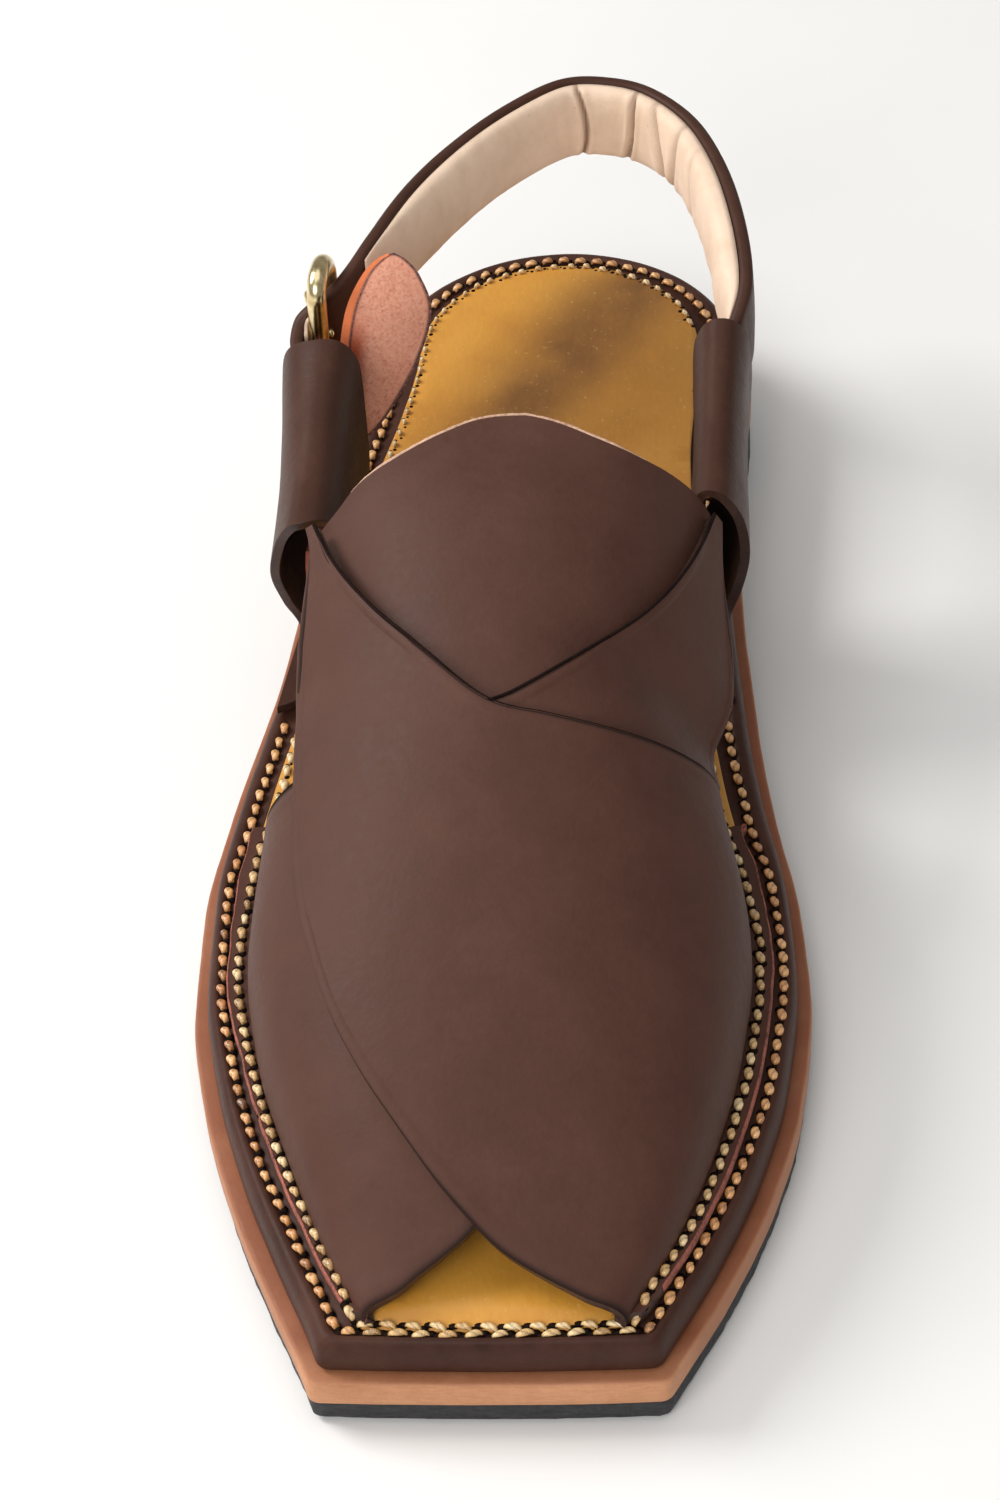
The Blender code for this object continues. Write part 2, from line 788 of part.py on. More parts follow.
def buckle(where, finish):
    front = Vector((HINGE_BAR[1], HINGE_BAR[0], BUCKLE_MID_Z))
    back = Vector((FAR_BAR[1], FAR_BAR[0], BUCKLE_MID_Z))
    half = (BUCKLE_HEIGHT - BUCKLE_WIRE) / 2
    length = (back - front).length
    run = (back - front).normalized()
    rise = Vector((BUCKLE_LEAN / half * 0.5, 0, 1))
    path = []
    near = BUCKLE_HINGE_CORNER
    far = BUCKLE_FAR_CORNER
    corners = [
        (near, near, half - near, 90, 180),
        (near, near, -half + near, 180, 270),
        (far, length - far, -half + far, 270, 360),
        (far, length - far, half - far, 0, 90),
    ]
    for radius, along, high, start, end in corners:
        for k in range(6):
            angle = math.radians(start + (end - start) * k / 5)
            s = along + radius * math.cos(angle)
            z = high + radius * math.sin(angle)
            path.append(front + run * s + rise * z)
    rod("buckle_frame", path, BUCKLE_WIRE / 2, True, where, finish)


def prong_path(reach):
    root = Vector((PRONG_ROOT[1], PRONG_ROOT[0], PRONG_ROOT[2]))
    tip = Vector((PRONG_TIP[1], PRONG_TIP[0], PRONG_TIP[2]))
    run = (tip - root).normalized()
    bow = Vector((-1, 0, 0))
    path = []
    for k in range(9):
        t = k / 8
        path.append(root.lerp(tip, t) + bow * 0.5 * math.sin(math.pi * t) + run * reach * (2 * t - 1))
    return path


def buckle_prong(where, cutters, strap, finish):
    """The prong runs from the hinge bar, through a punched hole, onto the far bar."""
    rod("buckle_prong", prong_path(0.0), PRONG_WIRE / 2, False, where, finish)
    punch = rod("punched_hole", prong_path(-0.4), PRONG_HOLE / 2, False, cutters, finish)
    punch.hide_render = True
    punch.display_type = "WIRE"
    hole = strap.modifiers.new("hole", "BOOLEAN")
    hole.operation = "DIFFERENCE"
    hole.solver = "EXACT"
    hole.object = punch


def buckle_guard(where, finish):
    grid = []
    for left_y, left_x, left_z, right_y, right_x, right_z, belly in GUARD_ROWS:
        a = Vector((left_x, left_y, left_z))
        b = Vector((right_x, right_y, right_z))
        line = []
        for k in range(9):
            t = k / 8
            p = a.lerp(b, t)
            p.y -= belly * math.sin(math.pi * t)
            line.append(p)
        grid.append(line)
    smooth = [smooth_path([tuple(row[k]) for row in grid], 12) for k in range(9)]
    cells = [[tuple(smooth[k][i]) for k in range(9)] for i in range(13)]
    sheet("buckle_guard", cells, Vector((-20, 90, 60)) * MM, where, finish, GUARD_THICK, -1)


def main():
    for thing in list(bpy.data.objects):
        bpy.data.objects.remove(thing, do_unlink=True)
    shoe = collection("peshawari_chappal")
    cutters = collection("cutters", True)
    rubber = material("outsole rubber", "rubber", roughness=0.8)
    tan = material("midsole leather", "tan", roughness=0.6)
    brown = material("upper leather", "brown", roughness=0.5)
    rim_brown = material("rim leather", "brown", roughness=0.5)
    mustard = material("insole leather", "mustard", roughness=0.5)
    beige = material("strap lining", "beige", roughness=0.7)
    brass = material("brass", "brass", metallic=1.0, roughness=0.2)
    suede = material("raw leather", "suede", roughness=0.9)

    plate("outsole", [
        (OUTSOLE_INSET + 0.5, 0.0),
        (OUTSOLE_INSET, 0.8),
        (OUTSOLE_INSET, OUTSOLE_THICK),
    ], shoe, rubber, under_heel)
    plate("midsole", [
        (0.0, MIDSOLE_Z),
        (0.0, MIDSOLE_Z + MIDSOLE_THICK - 1.2),
        (0.9, MIDSOLE_Z + MIDSOLE_THICK - 0.2),
        (1.4, MIDSOLE_Z + MIDSOLE_THICK),
    ], shoe, tan)
    plate("rim", [
        (LEDGE_INSET + 0.5, RIM_Z),
        (LEDGE_INSET, RIM_Z + 0.9),
        (LEDGE_INSET + 0.1, RIM_Z + 4.6),
        (LEDGE_INSET + 0.9, RIM_TOP - 1.0),
        (LEDGE_INSET + 2.2, RIM_TOP),
    ], shoe, rim_brown)
    plate("insole", [
        (lambda y: insole_inset(y), SEAT_Z),
        (lambda y: insole_inset(y), SEAT_Z + INSOLE_THICK - 0.4),
        (lambda y: insole_inset(y) + 0.6, SEAT_Z + INSOLE_THICK),
    ], shoe, mustard)

    lower = panel("lateral_panel", -1, cutters, brown)
    lower.hide_render = True
    lower.display_type = "WIRE"
    upper = panel("upper", 1, shoe, brown)
    join = upper.modifiers.new("lap", "BOOLEAN")
    join.operation = "UNION"
    join.solver = "EXACT"
    join.object = lower
    tongue(shoe, brown)
    side_loop("lateral_loop", LATERAL_LOOP, shoe, brown)
    side_loop("medial_loop", MEDIAL_LOOP, shoe, brown)
    strap = heel_strap(shoe, brown, beige)
    buckle(shoe, brass)
    buckle_prong(shoe, cutters, strap, brass)
    buckle_guard(shoe, suede)


main()
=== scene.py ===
"""Peshawari chappal, right shoe: leather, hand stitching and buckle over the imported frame."""
import logging
import math
from dataclasses import dataclass, field
from enum import Enum
from typing import Callable, Iterable, Optional, Sequence, Union

import bmesh
import bpy
import numpy as np
from mathutils import Matrix, Vector, noise


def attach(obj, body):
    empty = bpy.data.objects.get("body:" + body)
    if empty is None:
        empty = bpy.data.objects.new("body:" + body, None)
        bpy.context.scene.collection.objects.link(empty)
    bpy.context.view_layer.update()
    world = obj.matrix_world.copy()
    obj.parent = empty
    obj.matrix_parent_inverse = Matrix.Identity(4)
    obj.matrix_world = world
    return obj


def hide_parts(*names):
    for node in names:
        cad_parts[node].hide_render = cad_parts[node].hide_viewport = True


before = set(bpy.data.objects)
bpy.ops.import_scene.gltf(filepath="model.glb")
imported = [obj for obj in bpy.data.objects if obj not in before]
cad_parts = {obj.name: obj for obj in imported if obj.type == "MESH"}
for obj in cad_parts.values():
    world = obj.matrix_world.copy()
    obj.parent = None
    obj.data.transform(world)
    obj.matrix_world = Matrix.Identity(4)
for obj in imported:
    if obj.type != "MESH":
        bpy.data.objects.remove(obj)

logging.basicConfig(level=logging.INFO, format="%(message)s")
LOG = logging.getLogger("chappal")

MM = 0.001
PER_METRE = 1000.0
WELD = 0.002  # millimetres under which the sole's points join
TOE_POINTS = 27  # points of a loop that the stitches of the toe line take
FOOT_HALF = 55.0  # about half the foot's width: turns a share across into millimetres
UP = np.array([0.0, 0.0, 1.0])
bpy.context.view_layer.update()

Array = np.ndarray
Rows = tuple[tuple[float, ...], ...]
Faces = list[tuple[int, ...]]
Colour = tuple[float, float, float]
Triple = tuple[float, float, float]
Mesh = bpy.types.Mesh
Material = bpy.types.Material
Socket = bpy.types.NodeSocket
Value = Union[Socket, float]
Dye = Union[Socket, Colour]
Inset = Union[float, Callable[[Array, "Side"], Array]]


class Side(Enum):
    """The outer (lateral) or inner (medial) side of the right foot."""

    LATERAL = -1
    MEDIAL = 1


class Ply(Enum):
    """Which way a leather sheet gains its thickness from the drawn surface."""

    OUTWARD = 1
    INWARD = -1


# -------- curves
def follow(rows: Rows, column: int, at: Array, level_end: bool = False) -> Array:
    """Read one column of a station table between its rows, without overshoot.

    Args:
        rows: Station table, first column ascending.
        column: The column to read.
        at: Stations to read at.
        level_end: Whether the curve leaves the last row level.

    Returns:
        The values at the stations.
    """
    table = np.array(rows, float)
    xs, ys = table[:, 0], table[:, column]
    span = np.diff(xs)
    steps = np.diff(ys) / span
    slopes = np.zeros(len(xs))
    slopes[0] = steps[0]
    slopes[-1] = 0.0 if level_end else steps[-1]
    for i in range(1, len(xs) - 1):
        if steps[i - 1] * steps[i] > 0:
            first = 2 * span[i] + span[i - 1]
            second = span[i] + 2 * span[i - 1]
            slopes[i] = (first + second) / (first / steps[i - 1] + second / steps[i])
    at = np.clip(np.asarray(at, float), xs[0], xs[-1])
    i = np.clip(np.searchsorted(xs, at, side="right") - 1, 0, len(xs) - 2)
    t = (at - xs[i]) / span[i]
    start = (2 * t**3 - 3 * t**2 + 1) * ys[i] + (t**3 - 2 * t**2 + t) * span[i] * slopes[i]
    return start + (3 * t**2 - 2 * t**3) * ys[i + 1] + (t**3 - t**2) * span[i] * slopes[i + 1]


def even_path(points: Array, count: int) -> Array:
    """Lay evenly spaced points on a rounded path.

    Args:
        points: Guide points, one per row.
        count: Number of steps.

    Returns:
        count + 1 points.
    """
    knots = np.asarray(points, float)
    knots = np.vstack([2 * knots[0] - knots[1], knots, 2 * knots[-1] - knots[-2]])
    fine = []
    for i in range(1, len(knots) - 2):
        a, b, c, d = knots[i - 1:i + 3]
        t = np.linspace(0, 1, 24, endpoint=False)[:, None]
        bend = (2 * a - 5 * b + 4 * c - d) * t * t + (3 * b - a - 3 * c + d) * t**3
        fine.append(0.5 * (2 * b + (c - a) * t + bend))
    fine.append(knots[-2][None, :])
    return respace(np.vstack(fine), count)


def lengths(path: Array) -> Array:
    """Distance gone along a polyline at each of its points."""
    return np.concatenate([[0.0], np.cumsum(np.linalg.norm(np.diff(path, axis=0), axis=1))])


def respace(path: Array, count: int) -> Array:
    """Space points evenly along a polyline.

    Args:
        path: The polyline.
        count: Number of steps.

    Returns:
        count + 1 points.
    """
    gone = lengths(path)
    want = np.linspace(0, gone[-1], count + 1)
    return np.stack([np.interp(want, gone, path[:, k]) for k in range(path.shape[1])], axis=1)


def ease(value: Array, low: float, high: float) -> Array:
    """Rise smoothly from 0 at low to 1 at high."""
    t = np.clip((np.asarray(value, float) - low) / (high - low), 0, 1)
    return t * t * (3 - 2 * t)


def unit(vectors: Array) -> Array:
    """Scale vectors along the last axis to length one."""
    return vectors / np.maximum(np.linalg.norm(vectors, axis=-1, keepdims=True), 1e-9)


def right_of(run: Array) -> Array:
    """Level directions to the right of a run of directions."""
    return np.column_stack([run[:, 1], -run[:, 0], np.zeros(len(run))])


def ripple(points: Array, size: float, seed: float = 0.0) -> Array:
    """Read a soft random field, about -1 to 1.

    Args:
        points: Places in millimetres, last axis three long.
        size: Size of one ripple in millimetres.
        seed: Shift that picks another field.

    Returns:
        One value for each place.
    """
    flat = np.asarray(points, float).reshape(-1, 3) / size + seed
    values = [noise.noise(Vector(p)) for p in flat]
    return np.array(values).reshape(np.asarray(points).shape[:-1])


# -------- meshes
def grid_faces(rows: int, columns: int, wrap: bool = False) -> Faces:
    """List the quads of a grid of points.

    Args:
        rows: Number of rows.
        columns: Number of columns.
        wrap: Whether the last column joins the first.

    Returns:
        Faces as vertex indices.
    """
    faces = []
    for i in range(rows - 1):
        for j in range(columns if wrap else columns - 1):
            n = (j + 1) % columns
            faces.append((i * columns + j, i * columns + n, (i + 1) * columns + n, (i + 1) * columns + j))
    return faces


def rod_faces(rows: int, columns: int) -> Faces:
    """Quads of a grid that wraps round, with a cap at each end."""
    last = (rows - 1) * columns
    return grid_faces(rows, columns, True) + [tuple(range(columns)), tuple(range(last, last + columns))]


def sweep(path: Array, side: Array, high: Array, radius: Array, spokes: int) -> Array:
    """Set a circle round each point of a path.

    Args:
        path: Centre line.
        side: First direction of the circle at each point.
        high: Second direction of the circle at each point.
        radius: Radius at each point.
        spokes: Points on a circle.

    Returns:
        Grid of points, one circle a row.
    """
    theta = np.linspace(0, 2 * math.pi, spokes, endpoint=False)
    ring = side[:, None, :] * np.cos(theta)[None, :, None] + high[:, None, :] * np.sin(theta)[None, :, None]
    return path[:, None, :] + radius[:, None, None] * ring


def make_mesh(name: str, points: Array, faces: Faces, merge: float = 0.0) -> Mesh:
    """Make a smooth shaded mesh from points in millimetres.

    Args:
        name: Name of the mesh.
        points: Vertices, one per row.
        faces: Faces as vertex indices.
        merge: Distance in millimetres under which vertices join, 0 for none.

    Returns:
        The mesh, with its faces turned to agree.
    """
    mesh = bpy.data.meshes.new(name)
    mesh.from_pydata((np.asarray(points, float) * MM).tolist(), [], faces)
    build = bmesh.new()
    build.from_mesh(mesh)
    if merge:
        bmesh.ops.remove_doubles(build, verts=build.verts, dist=merge * MM)
    bmesh.ops.recalc_face_normals(build, faces=build.faces)
    build.to_mesh(mesh)
    build.free()
    mesh.shade_smooth()
    return mesh


def sheet_mesh(name: str, grid: Array) -> Mesh:
    """Mesh of an open sheet from its grid of points."""
    return make_mesh(name, grid.reshape(-1, 3), grid_faces(*grid.shape[:2]))


def rod_mesh(name: str, grid: Array) -> Mesh:
    """Mesh of a closed rod with capped ends from its grid of points."""
    return make_mesh(name, grid.reshape(-1, 3), rod_faces(*grid.shape[:2]))


def face_away(mesh: Mesh, inside: Sequence[float]) -> None:
    """Turn a sheet's faces so that they look away from a place.

    Args:
        mesh: The sheet.
        inside: A place in millimetres on the sheet's hollow side.
    """
    centre = Vector(inside) * MM
    score = sum(p.normal.dot((p.center - centre).normalized()) * p.area for p in mesh.polygons)
    if score < 0:
        mesh.flip_normals()


def mark(mesh: Mesh, name: str, values: Array) -> None:
    """Store one number on each vertex for the finishes to read."""
    layer = mesh.attributes.new(name, "FLOAT", "POINT")
    layer.data.foreach_set("value", np.asarray(values, np.float32).ravel())


def shell(made: bpy.types.Object, thick: float, ply: Ply, rounding: float = 0.45) -> None:
    """Give a drawn surface its leather thickness and rounded cut edges.

    Args:
        made: The sheet.
        thick: Leather thickness in millimetres.
        ply: Side on which the thickness is added.
        rounding: Radius of the cut edges in millimetres.
    """
    wall = made.modifiers.new("thickness", "SOLIDIFY")
    wall.thickness = thick * MM
    wall.offset = ply.value
    wall.use_rim = True
    wall.material_offset = 1 if ply is Ply.INWARD else 0
    wall.material_offset_rim = 2
    edge = made.modifiers.new("cut_edge", "BEVEL")
    edge.width = rounding * MM
    edge.segments = 3
    edge.limit_method = "ANGLE"
    edge.angle_limit = math.radians(50)
    edge.harden_normals = True
    made.data.set_sharp_from_angle(angle=math.radians(60))


class Piece:
    """One finished piece that rides on the shoe."""

    def __init__(self, name: str, mesh: Mesh, slot: str, finishes: Iterable["Finish"],
                 node: Optional[str] = None) -> None:
        """Place a mesh on the shoe and dress it.

        Args:
            name: Name of the piece.
            mesh: Its mesh.
            slot: Name of the material slot that it belongs to; not used.
            finishes: One finish for each material index.
            node: The plain solid that it stands for, if any.
        """
        self.body = bpy.data.objects.new(name, mesh)
        bpy.context.scene.collection.objects.link(self.body)
        for finish in finishes:
            mesh.materials.append(finish.material())
        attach(self.body, "root")
        if node:
            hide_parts(node)

    def report(self) -> bpy.types.Object:
        """Log the piece and hand back its object."""
        LOG.info("%s: %d faces", self.body.name, len(self.body.data.polygons))
        return self.body


# -------- finishes
class Finish:
    """Base of the finishes: a node material built once and shared."""

    made: dict[str, Material] = {}
    name: str

    def material(self) -> Material:
        """Build the material on first use."""
        if self.name not in Finish.made:
            Finish.made[self.name] = self.build(Graph(self.name))
        return Finish.made[self.name]

    def build(self, graph: "Graph") -> Material:
        """Lay out the nodes; each finish has its own."""
        raise NotImplementedError


class Graph:
    """A material's node tree with short calls for the nodes a leather worker's finishes need."""

    def __init__(self, name: str) -> None:
        """Start a material with a lone Principled shader.

        Args:
            name: Name of the material.
        """
        self.made = bpy.data.materials.new(name)
        self.made.use_nodes = True
        self.tree = self.made.node_tree
        self.shader = self.tree.nodes["Principled BSDF"]
        self.place = self.node("ShaderNodeTexCoord").outputs["Object"]

    def node(self, kind: str, **values: float) -> bpy.types.Node:
        """Add a node and set some of its inputs.

        Args:
            kind: Type of the node.
            values: Inputs by name, underscores for spaces.

        Returns:
            The node.
        """
        made = self.tree.nodes.new(kind)
        for key, value in values.items():
            made.inputs[key.replace("_", " ")].default_value = value
        return made

    def join(self, source: Socket, target: Socket) -> None:
        """Link two sockets."""
        self.tree.links.new(source, target)

    def stretched(self, scale: Triple, turn: Triple = (0, 0, 0)) -> Socket:
        """Object coordinates scaled along the axes.

        Args:
            scale: Factor along X, Y and Z.
            turn: Rotation in radians before the scaling.

        Returns:
            The vector socket.
        """
        mapping = self.node("ShaderNodeMapping", Scale=scale, Rotation=turn)
        self.join(self.place, mapping.inputs["Vector"])
        return mapping.outputs["Vector"]

    def noise(self, size: float, detail: float = 2.0, rough: float = 0.5, at: Optional[Socket] = None) -> Socket:
        """Noise with features of a size in millimetres.

        Args:
            size: Feature size.
            detail: Octaves.
            rough: Strength of the finer octaves.
            at: Coordinates, the object's own if none.

        Returns:
            The factor socket.
        """
        made = self.node("ShaderNodeTexNoise", Scale=PER_METRE / size, Detail=detail, Roughness=rough)
        self.join(at or self.place, made.inputs["Vector"])
        return made.outputs[0]

    def cells(self, size: float, feature: str = "F1", at: Optional[Socket] = None) -> Socket:
        """Voronoi distance with cells of a size in millimetres.

        Args:
            size: Cell size.
            feature: Voronoi feature.
            at: Coordinates, the object's own if none.

        Returns:
            The distance socket.
        """
        made = self.node("ShaderNodeTexVoronoi", Scale=PER_METRE / size, Randomness=1.0)
        made.feature = feature
        self.join(at or self.place, made.inputs["Vector"])
        return made.outputs["Distance"]

    def ramp(self, factor: Socket, stops: Sequence[tuple[float, Colour]]) -> Socket:
        """Colour ramp through the stops.

        Args:
            factor: Input value.
            stops: Pairs of position and colour.

        Returns:
            The colour socket.
        """
        made = self.node("ShaderNodeValToRGB")
        ramp = made.color_ramp
        while len(ramp.elements) < len(stops):
            ramp.elements.new(0.5)
        for element, (position, colour) in zip(ramp.elements, stops):
            element.position = position
            element.color = (*colour, 1.0)
        self.join(factor, made.inputs["Fac"])
        return made.outputs["Color"]

    def span(self, value: Socket, low: float, high: float, out_low: float = 0.0, out_high: float = 1.0) -> Socket:
        """Map a value range to another, clamped.

        Args:
            value: Input value.
            low: Input at out_low.
            high: Input at out_high.
            out_low: Output at low.
            out_high: Output at high.

        Returns:
            The mapped socket.
        """
        made = self.node("ShaderNodeMapRange", From_Min=low, From_Max=high, To_Min=out_low, To_Max=out_high)
        self.join(value, made.inputs["Value"])
        return made.outputs["Result"]

    def sum(self, first: Socket, second: Value) -> Socket:
        """Add two values."""
        return self.reckon(first, second, "ADD")

    def times(self, first: Socket, second: Value) -> Socket:
        """Multiply two values."""
        return self.reckon(first, second, "MULTIPLY")

    def reckon(self, first: Socket, second: Value, how: str) -> Socket:
        """Join two values with one Math operation.

        Args:
            first: First value.
            second: Second value or a plain number.
            how: The operation.

        Returns:
            The result socket.
        """
        made = self.node("ShaderNodeMath")
        made.operation = how
        self.join(first, made.inputs[0])
        if isinstance(second, (int, float)):
            made.inputs[1].default_value = second
        else:
            self.join(second, made.inputs[1])
        return made.outputs[0]

    def mix(self, share: Value, low: Dye, high: Dye) -> Socket:
        """Mix two colours.

        Args:
            share: Share of the second colour.
            low: First colour.
            high: Second colour.

        Returns:
            The colour socket.
        """
        made = self.node("ShaderNodeMix")
        made.data_type = "RGBA"
        for value, socket in ((share, made.inputs[0]), (low, made.inputs[6]), (high, made.inputs[7])):
            if isinstance(value, Socket):
                self.join(value, socket)
            elif isinstance(value, tuple):
                socket.default_value = (*value, 1.0)
            else:
                socket.default_value = value
        return made.outputs[2]

    def stored(self, name: str) -> Socket:
        """A number stored on the mesh."""
        made = self.node("ShaderNodeAttribute")
        made.attribute_name = name
        return made.outputs["Fac"]

    def bump(self, *layers: tuple[Socket, float]) -> Socket:
        """Stack bumps.

        Args:
            layers: Pairs of height socket and depth in millimetres.

        Returns:
            The normal socket.
        """
        normal = None
        for height, depth in layers:
            made = self.node("ShaderNodeBump", Strength=1.0, Distance=depth * MM)
            self.join(height, made.inputs["Height"])
            if normal:
                self.join(normal, made.inputs["Normal"])
            normal = made.outputs["Normal"]
        return normal

    def finish(self, colour: Socket, rough: Value, normal: Optional[Socket] = None, **values: float) -> Material:
        """Wire the shader and hand back the material.

        Args:
            colour: Base colour socket.
            rough: Roughness socket or number.
            normal: Normal socket.
            values: Further shader inputs, underscores for spaces.

        Returns:
            The material.
        """
        self.join(colour, self.shader.inputs["Base Color"])
        if isinstance(rough, (int, float)):
            self.shader.inputs["Roughness"].default_value = rough
        else:
            self.join(rough, self.shader.inputs["Roughness"])
        if normal:
            self.join(normal, self.shader.inputs["Normal"])
        for key, value in values.items():
            self.shader.inputs[key.replace("_", " ")].default_value = value
        return self.made


@dataclass(frozen=True)
class GrainLeather(Finish):
    """Dyed upper leather with a fine satin grain, faint mottling, pores and scuffs."""

    name: str
    dark: Colour
    mid: Colour
    light: Colour
    scuff: Colour
    grain: float = 0.75
    depth: float = 0.035
    rough: float = 0.46
    scuff_share: float = 0.2
    coat: float = 0.0
    shine: float = 0.3
    # near-black colour of the painted shade band
    painted_shade_colour: Colour = (0.010, 0.005, 0.004)

    def build(self, graph: Graph) -> Material:
        """Mottled dye, cell grain, pores, fine scratches, and painted shade where the band is stored, which is also
        made rougher.

        Args:
            graph: The new material's nodes.

        Returns:
            The material.
        """
        mottle = graph.noise(16.0, 5.0, 0.62)
        fine = graph.noise(1.6, 3.0, 0.6)
        tone = graph.sum(graph.times(mottle, 0.75), graph.times(fine, 0.25))
        dye = graph.ramp(tone, ((0.30, self.dark), (0.5, self.mid), (0.72, self.light)))
        pore_mask = graph.span(graph.cells(1.9), 0.05, 0.12, 1.0, 0.0)
        dye = graph.mix(graph.times(pore_mask, 0.22), dye, self.dark)
        along = graph.stretched((1.0, 7.0, 2.0), (0.0, 0.3, 0.6))
        scratch = graph.noise(2.2, 4.0, 0.7, along)
        patches = graph.noise(9.0, 2.0)
        scuffs = graph.times(graph.span(scratch, 0.66, 0.74), graph.span(patches, 0.52, 0.66))
        dye = graph.mix(graph.times(scuffs, self.scuff_share), dye, self.scuff)
        # painted shade: the stored band is darkened toward near-black
        dye = graph.mix(graph.stored("painted_shade_band"), dye, self.painted_shade_colour)
        cell = graph.cells(self.grain, "SMOOTH_F1")
        crumple = graph.noise(self.grain * 2.6, 4.0, 0.6)
        swell = graph.noise(9.0, 2.0, 0.5)
        normal = graph.bump((swell, 0.22), (crumple, self.depth * 1.4), (cell, self.depth), (pore_mask, -0.012))
        gloss = graph.span(graph.sum(graph.times(fine, 0.5), graph.times(mottle, 0.5)),
                           0.35, 0.68, self.rough - 0.07, self.rough + 0.09)
        gloss = graph.sum(gloss, graph.times(graph.stored("painted_shade_band"), 0.35))
        return graph.finish(dye, gloss, normal, Coat_Weight=self.coat, Coat_Roughness=0.3,
                            Specular_IOR_Level=self.shine)


@dataclass(frozen=True)
class SockLeather(Finish):
    """Mustard insole leather: crackled pebble grain, a painted brown shadow on the heel seat, and specks."""

    name: str = "mustard_sock"
    pale: Colour = (0.74, 0.355, 0.055)
    bright: Colour = (0.69, 0.318, 0.040)
    mid: Colour = (0.60, 0.255, 0.030)
    # deep: colour of the painted shadow on the heel seat and of the faint painted shade under the panels
    deep: Colour = (0.185, 0.076, 0.012)
    speck: Colour = (0.10, 0.05, 0.02)
    glint: Colour = (0.86, 0.60, 0.26)

    def build(self, graph: Graph) -> Material:
        """Warm mottling, crackled grain and a soft stored shade.

        Args:
            graph: The new material's nodes.

        Returns:
            The material.
        """
        mottle = graph.noise(26.0, 4.0, 0.55)
        dye = graph.ramp(mottle, ((0.34, self.mid), (0.52, self.bright), (0.7, self.pale)))
        cloud = graph.span(graph.noise(12.0, 3.0), 0.3, 0.7, 0.88, 1.1)
        # painted shadow: the stored shade, broken up by soft noise, pulls the dye toward deep brown
        painted_shadow = graph.times(graph.stored("painted_shadow"), cloud)
        dye = graph.mix(painted_shadow, dye, self.deep)
        dots = graph.span(graph.cells(7.0), 0.03, 0.055, 1.0, 0.0)
        specks = graph.times(dots, graph.span(graph.noise(15.0), 0.5, 0.6))
        dye = graph.mix(graph.times(specks, 0.75), dye, self.speck)
        glints = graph.span(graph.noise(0.9, 2.0), 0.66, 0.74)
        dye = graph.mix(graph.times(glints, 0.22), dye, self.glint)
        bent = graph.stretched((1.0, 0.45, 1.0), (0.0, 0.0, 0.5))
        cell = graph.cells(1.1, "F1", bent)
        crackle = graph.noise(1.3, 5.0, 0.65, bent)
        normal = graph.bump((graph.noise(22.0, 2.0), 0.35), (crackle, 0.05), (cell, 0.05))
        gloss = graph.span(crackle, 0.35, 0.7, 0.34, 0.55)
        return graph.finish(dye, gloss, normal, Coat_Weight=0.12, Coat_Roughness=0.28)


@dataclass(frozen=True)
class SoleLeather(Finish):
    """Undyed tan sole leather: pale fibrous cut side, stained and burnished top ledge."""

    name: str = "tan_sole_leather"
    side: Colour = (0.46, 0.185, 0.080)
    pale: Colour = (0.65, 0.318, 0.158)
    ledge: Colour = (0.27, 0.082, 0.031)
    scar: Colour = (0.13, 0.055, 0.03)

    def build(self, graph: Graph) -> Material:
        """Fibre lines along the edge, speckles and the stored stain.

        Args:
            graph: The new material's nodes.

        Returns:
            The material.
        """
        layered = graph.stretched((1.0, 1.0, 9.0))
        fibre = graph.noise(3.2, 5.0, 0.7, layered)
        patch = graph.noise(14.0, 3.0, 0.6)
        speckle = graph.noise(0.8, 3.0, 0.7)
        tone = graph.sum(graph.times(fibre, 0.45), graph.sum(graph.times(patch, 0.35), graph.times(speckle, 0.2)))
        halfway = tuple(0.5 * (a + b) for a, b in zip(self.side, self.pale))
        base = graph.ramp(tone, ((0.36, self.side), (0.5, halfway), (0.64, self.pale)))
        stain = graph.times(graph.stored("stain"), graph.span(patch, 0.3, 0.7, 0.8, 1.15))
        base = graph.mix(stain, base, self.ledge)
        marks = graph.span(graph.noise(2.2, 4.0, 0.8), 0.66, 0.74)
        base = graph.mix(graph.times(marks, 0.35), base, self.scar)
        normal = graph.bump((fibre, 0.10), (speckle, 0.05))
        return graph.finish(base, graph.span(fibre, 0.3, 0.7, 0.48, 0.68), normal)


@dataclass(frozen=True)
class CutRubber(Finish):
    """Black sole rubber, cut by knife: drag lines, torn specks and dust."""

    name: str = "cut_rubber"
    dark: Colour = (0.013, 0.013, 0.015)
    worn: Colour = (0.040, 0.040, 0.044)
    dust: Colour = (0.11, 0.108, 0.105)

    def build(self, graph: Graph) -> Material:
        """Knife drag, torn pits and pale dust.

        Args:
            graph: The new material's nodes.

        Returns:
            The material.
        """
        drag = graph.noise(2.6, 5.0, 0.7, graph.stretched((1.0, 1.0, 5.0)))
        torn = graph.noise(1.1, 4.0, 0.7)
        dust = graph.span(graph.noise(1.7, 5.0, 0.8), 0.56, 0.75)
        base = graph.ramp(drag, ((0.3, self.dark), (0.7, self.worn)))
        base = graph.mix(graph.times(dust, 0.3), base, self.dust)
        normal = graph.bump((drag, 0.25), (torn, 0.18))
        return graph.finish(base, graph.span(torn, 0.3, 0.7, 0.55, 0.8), normal)


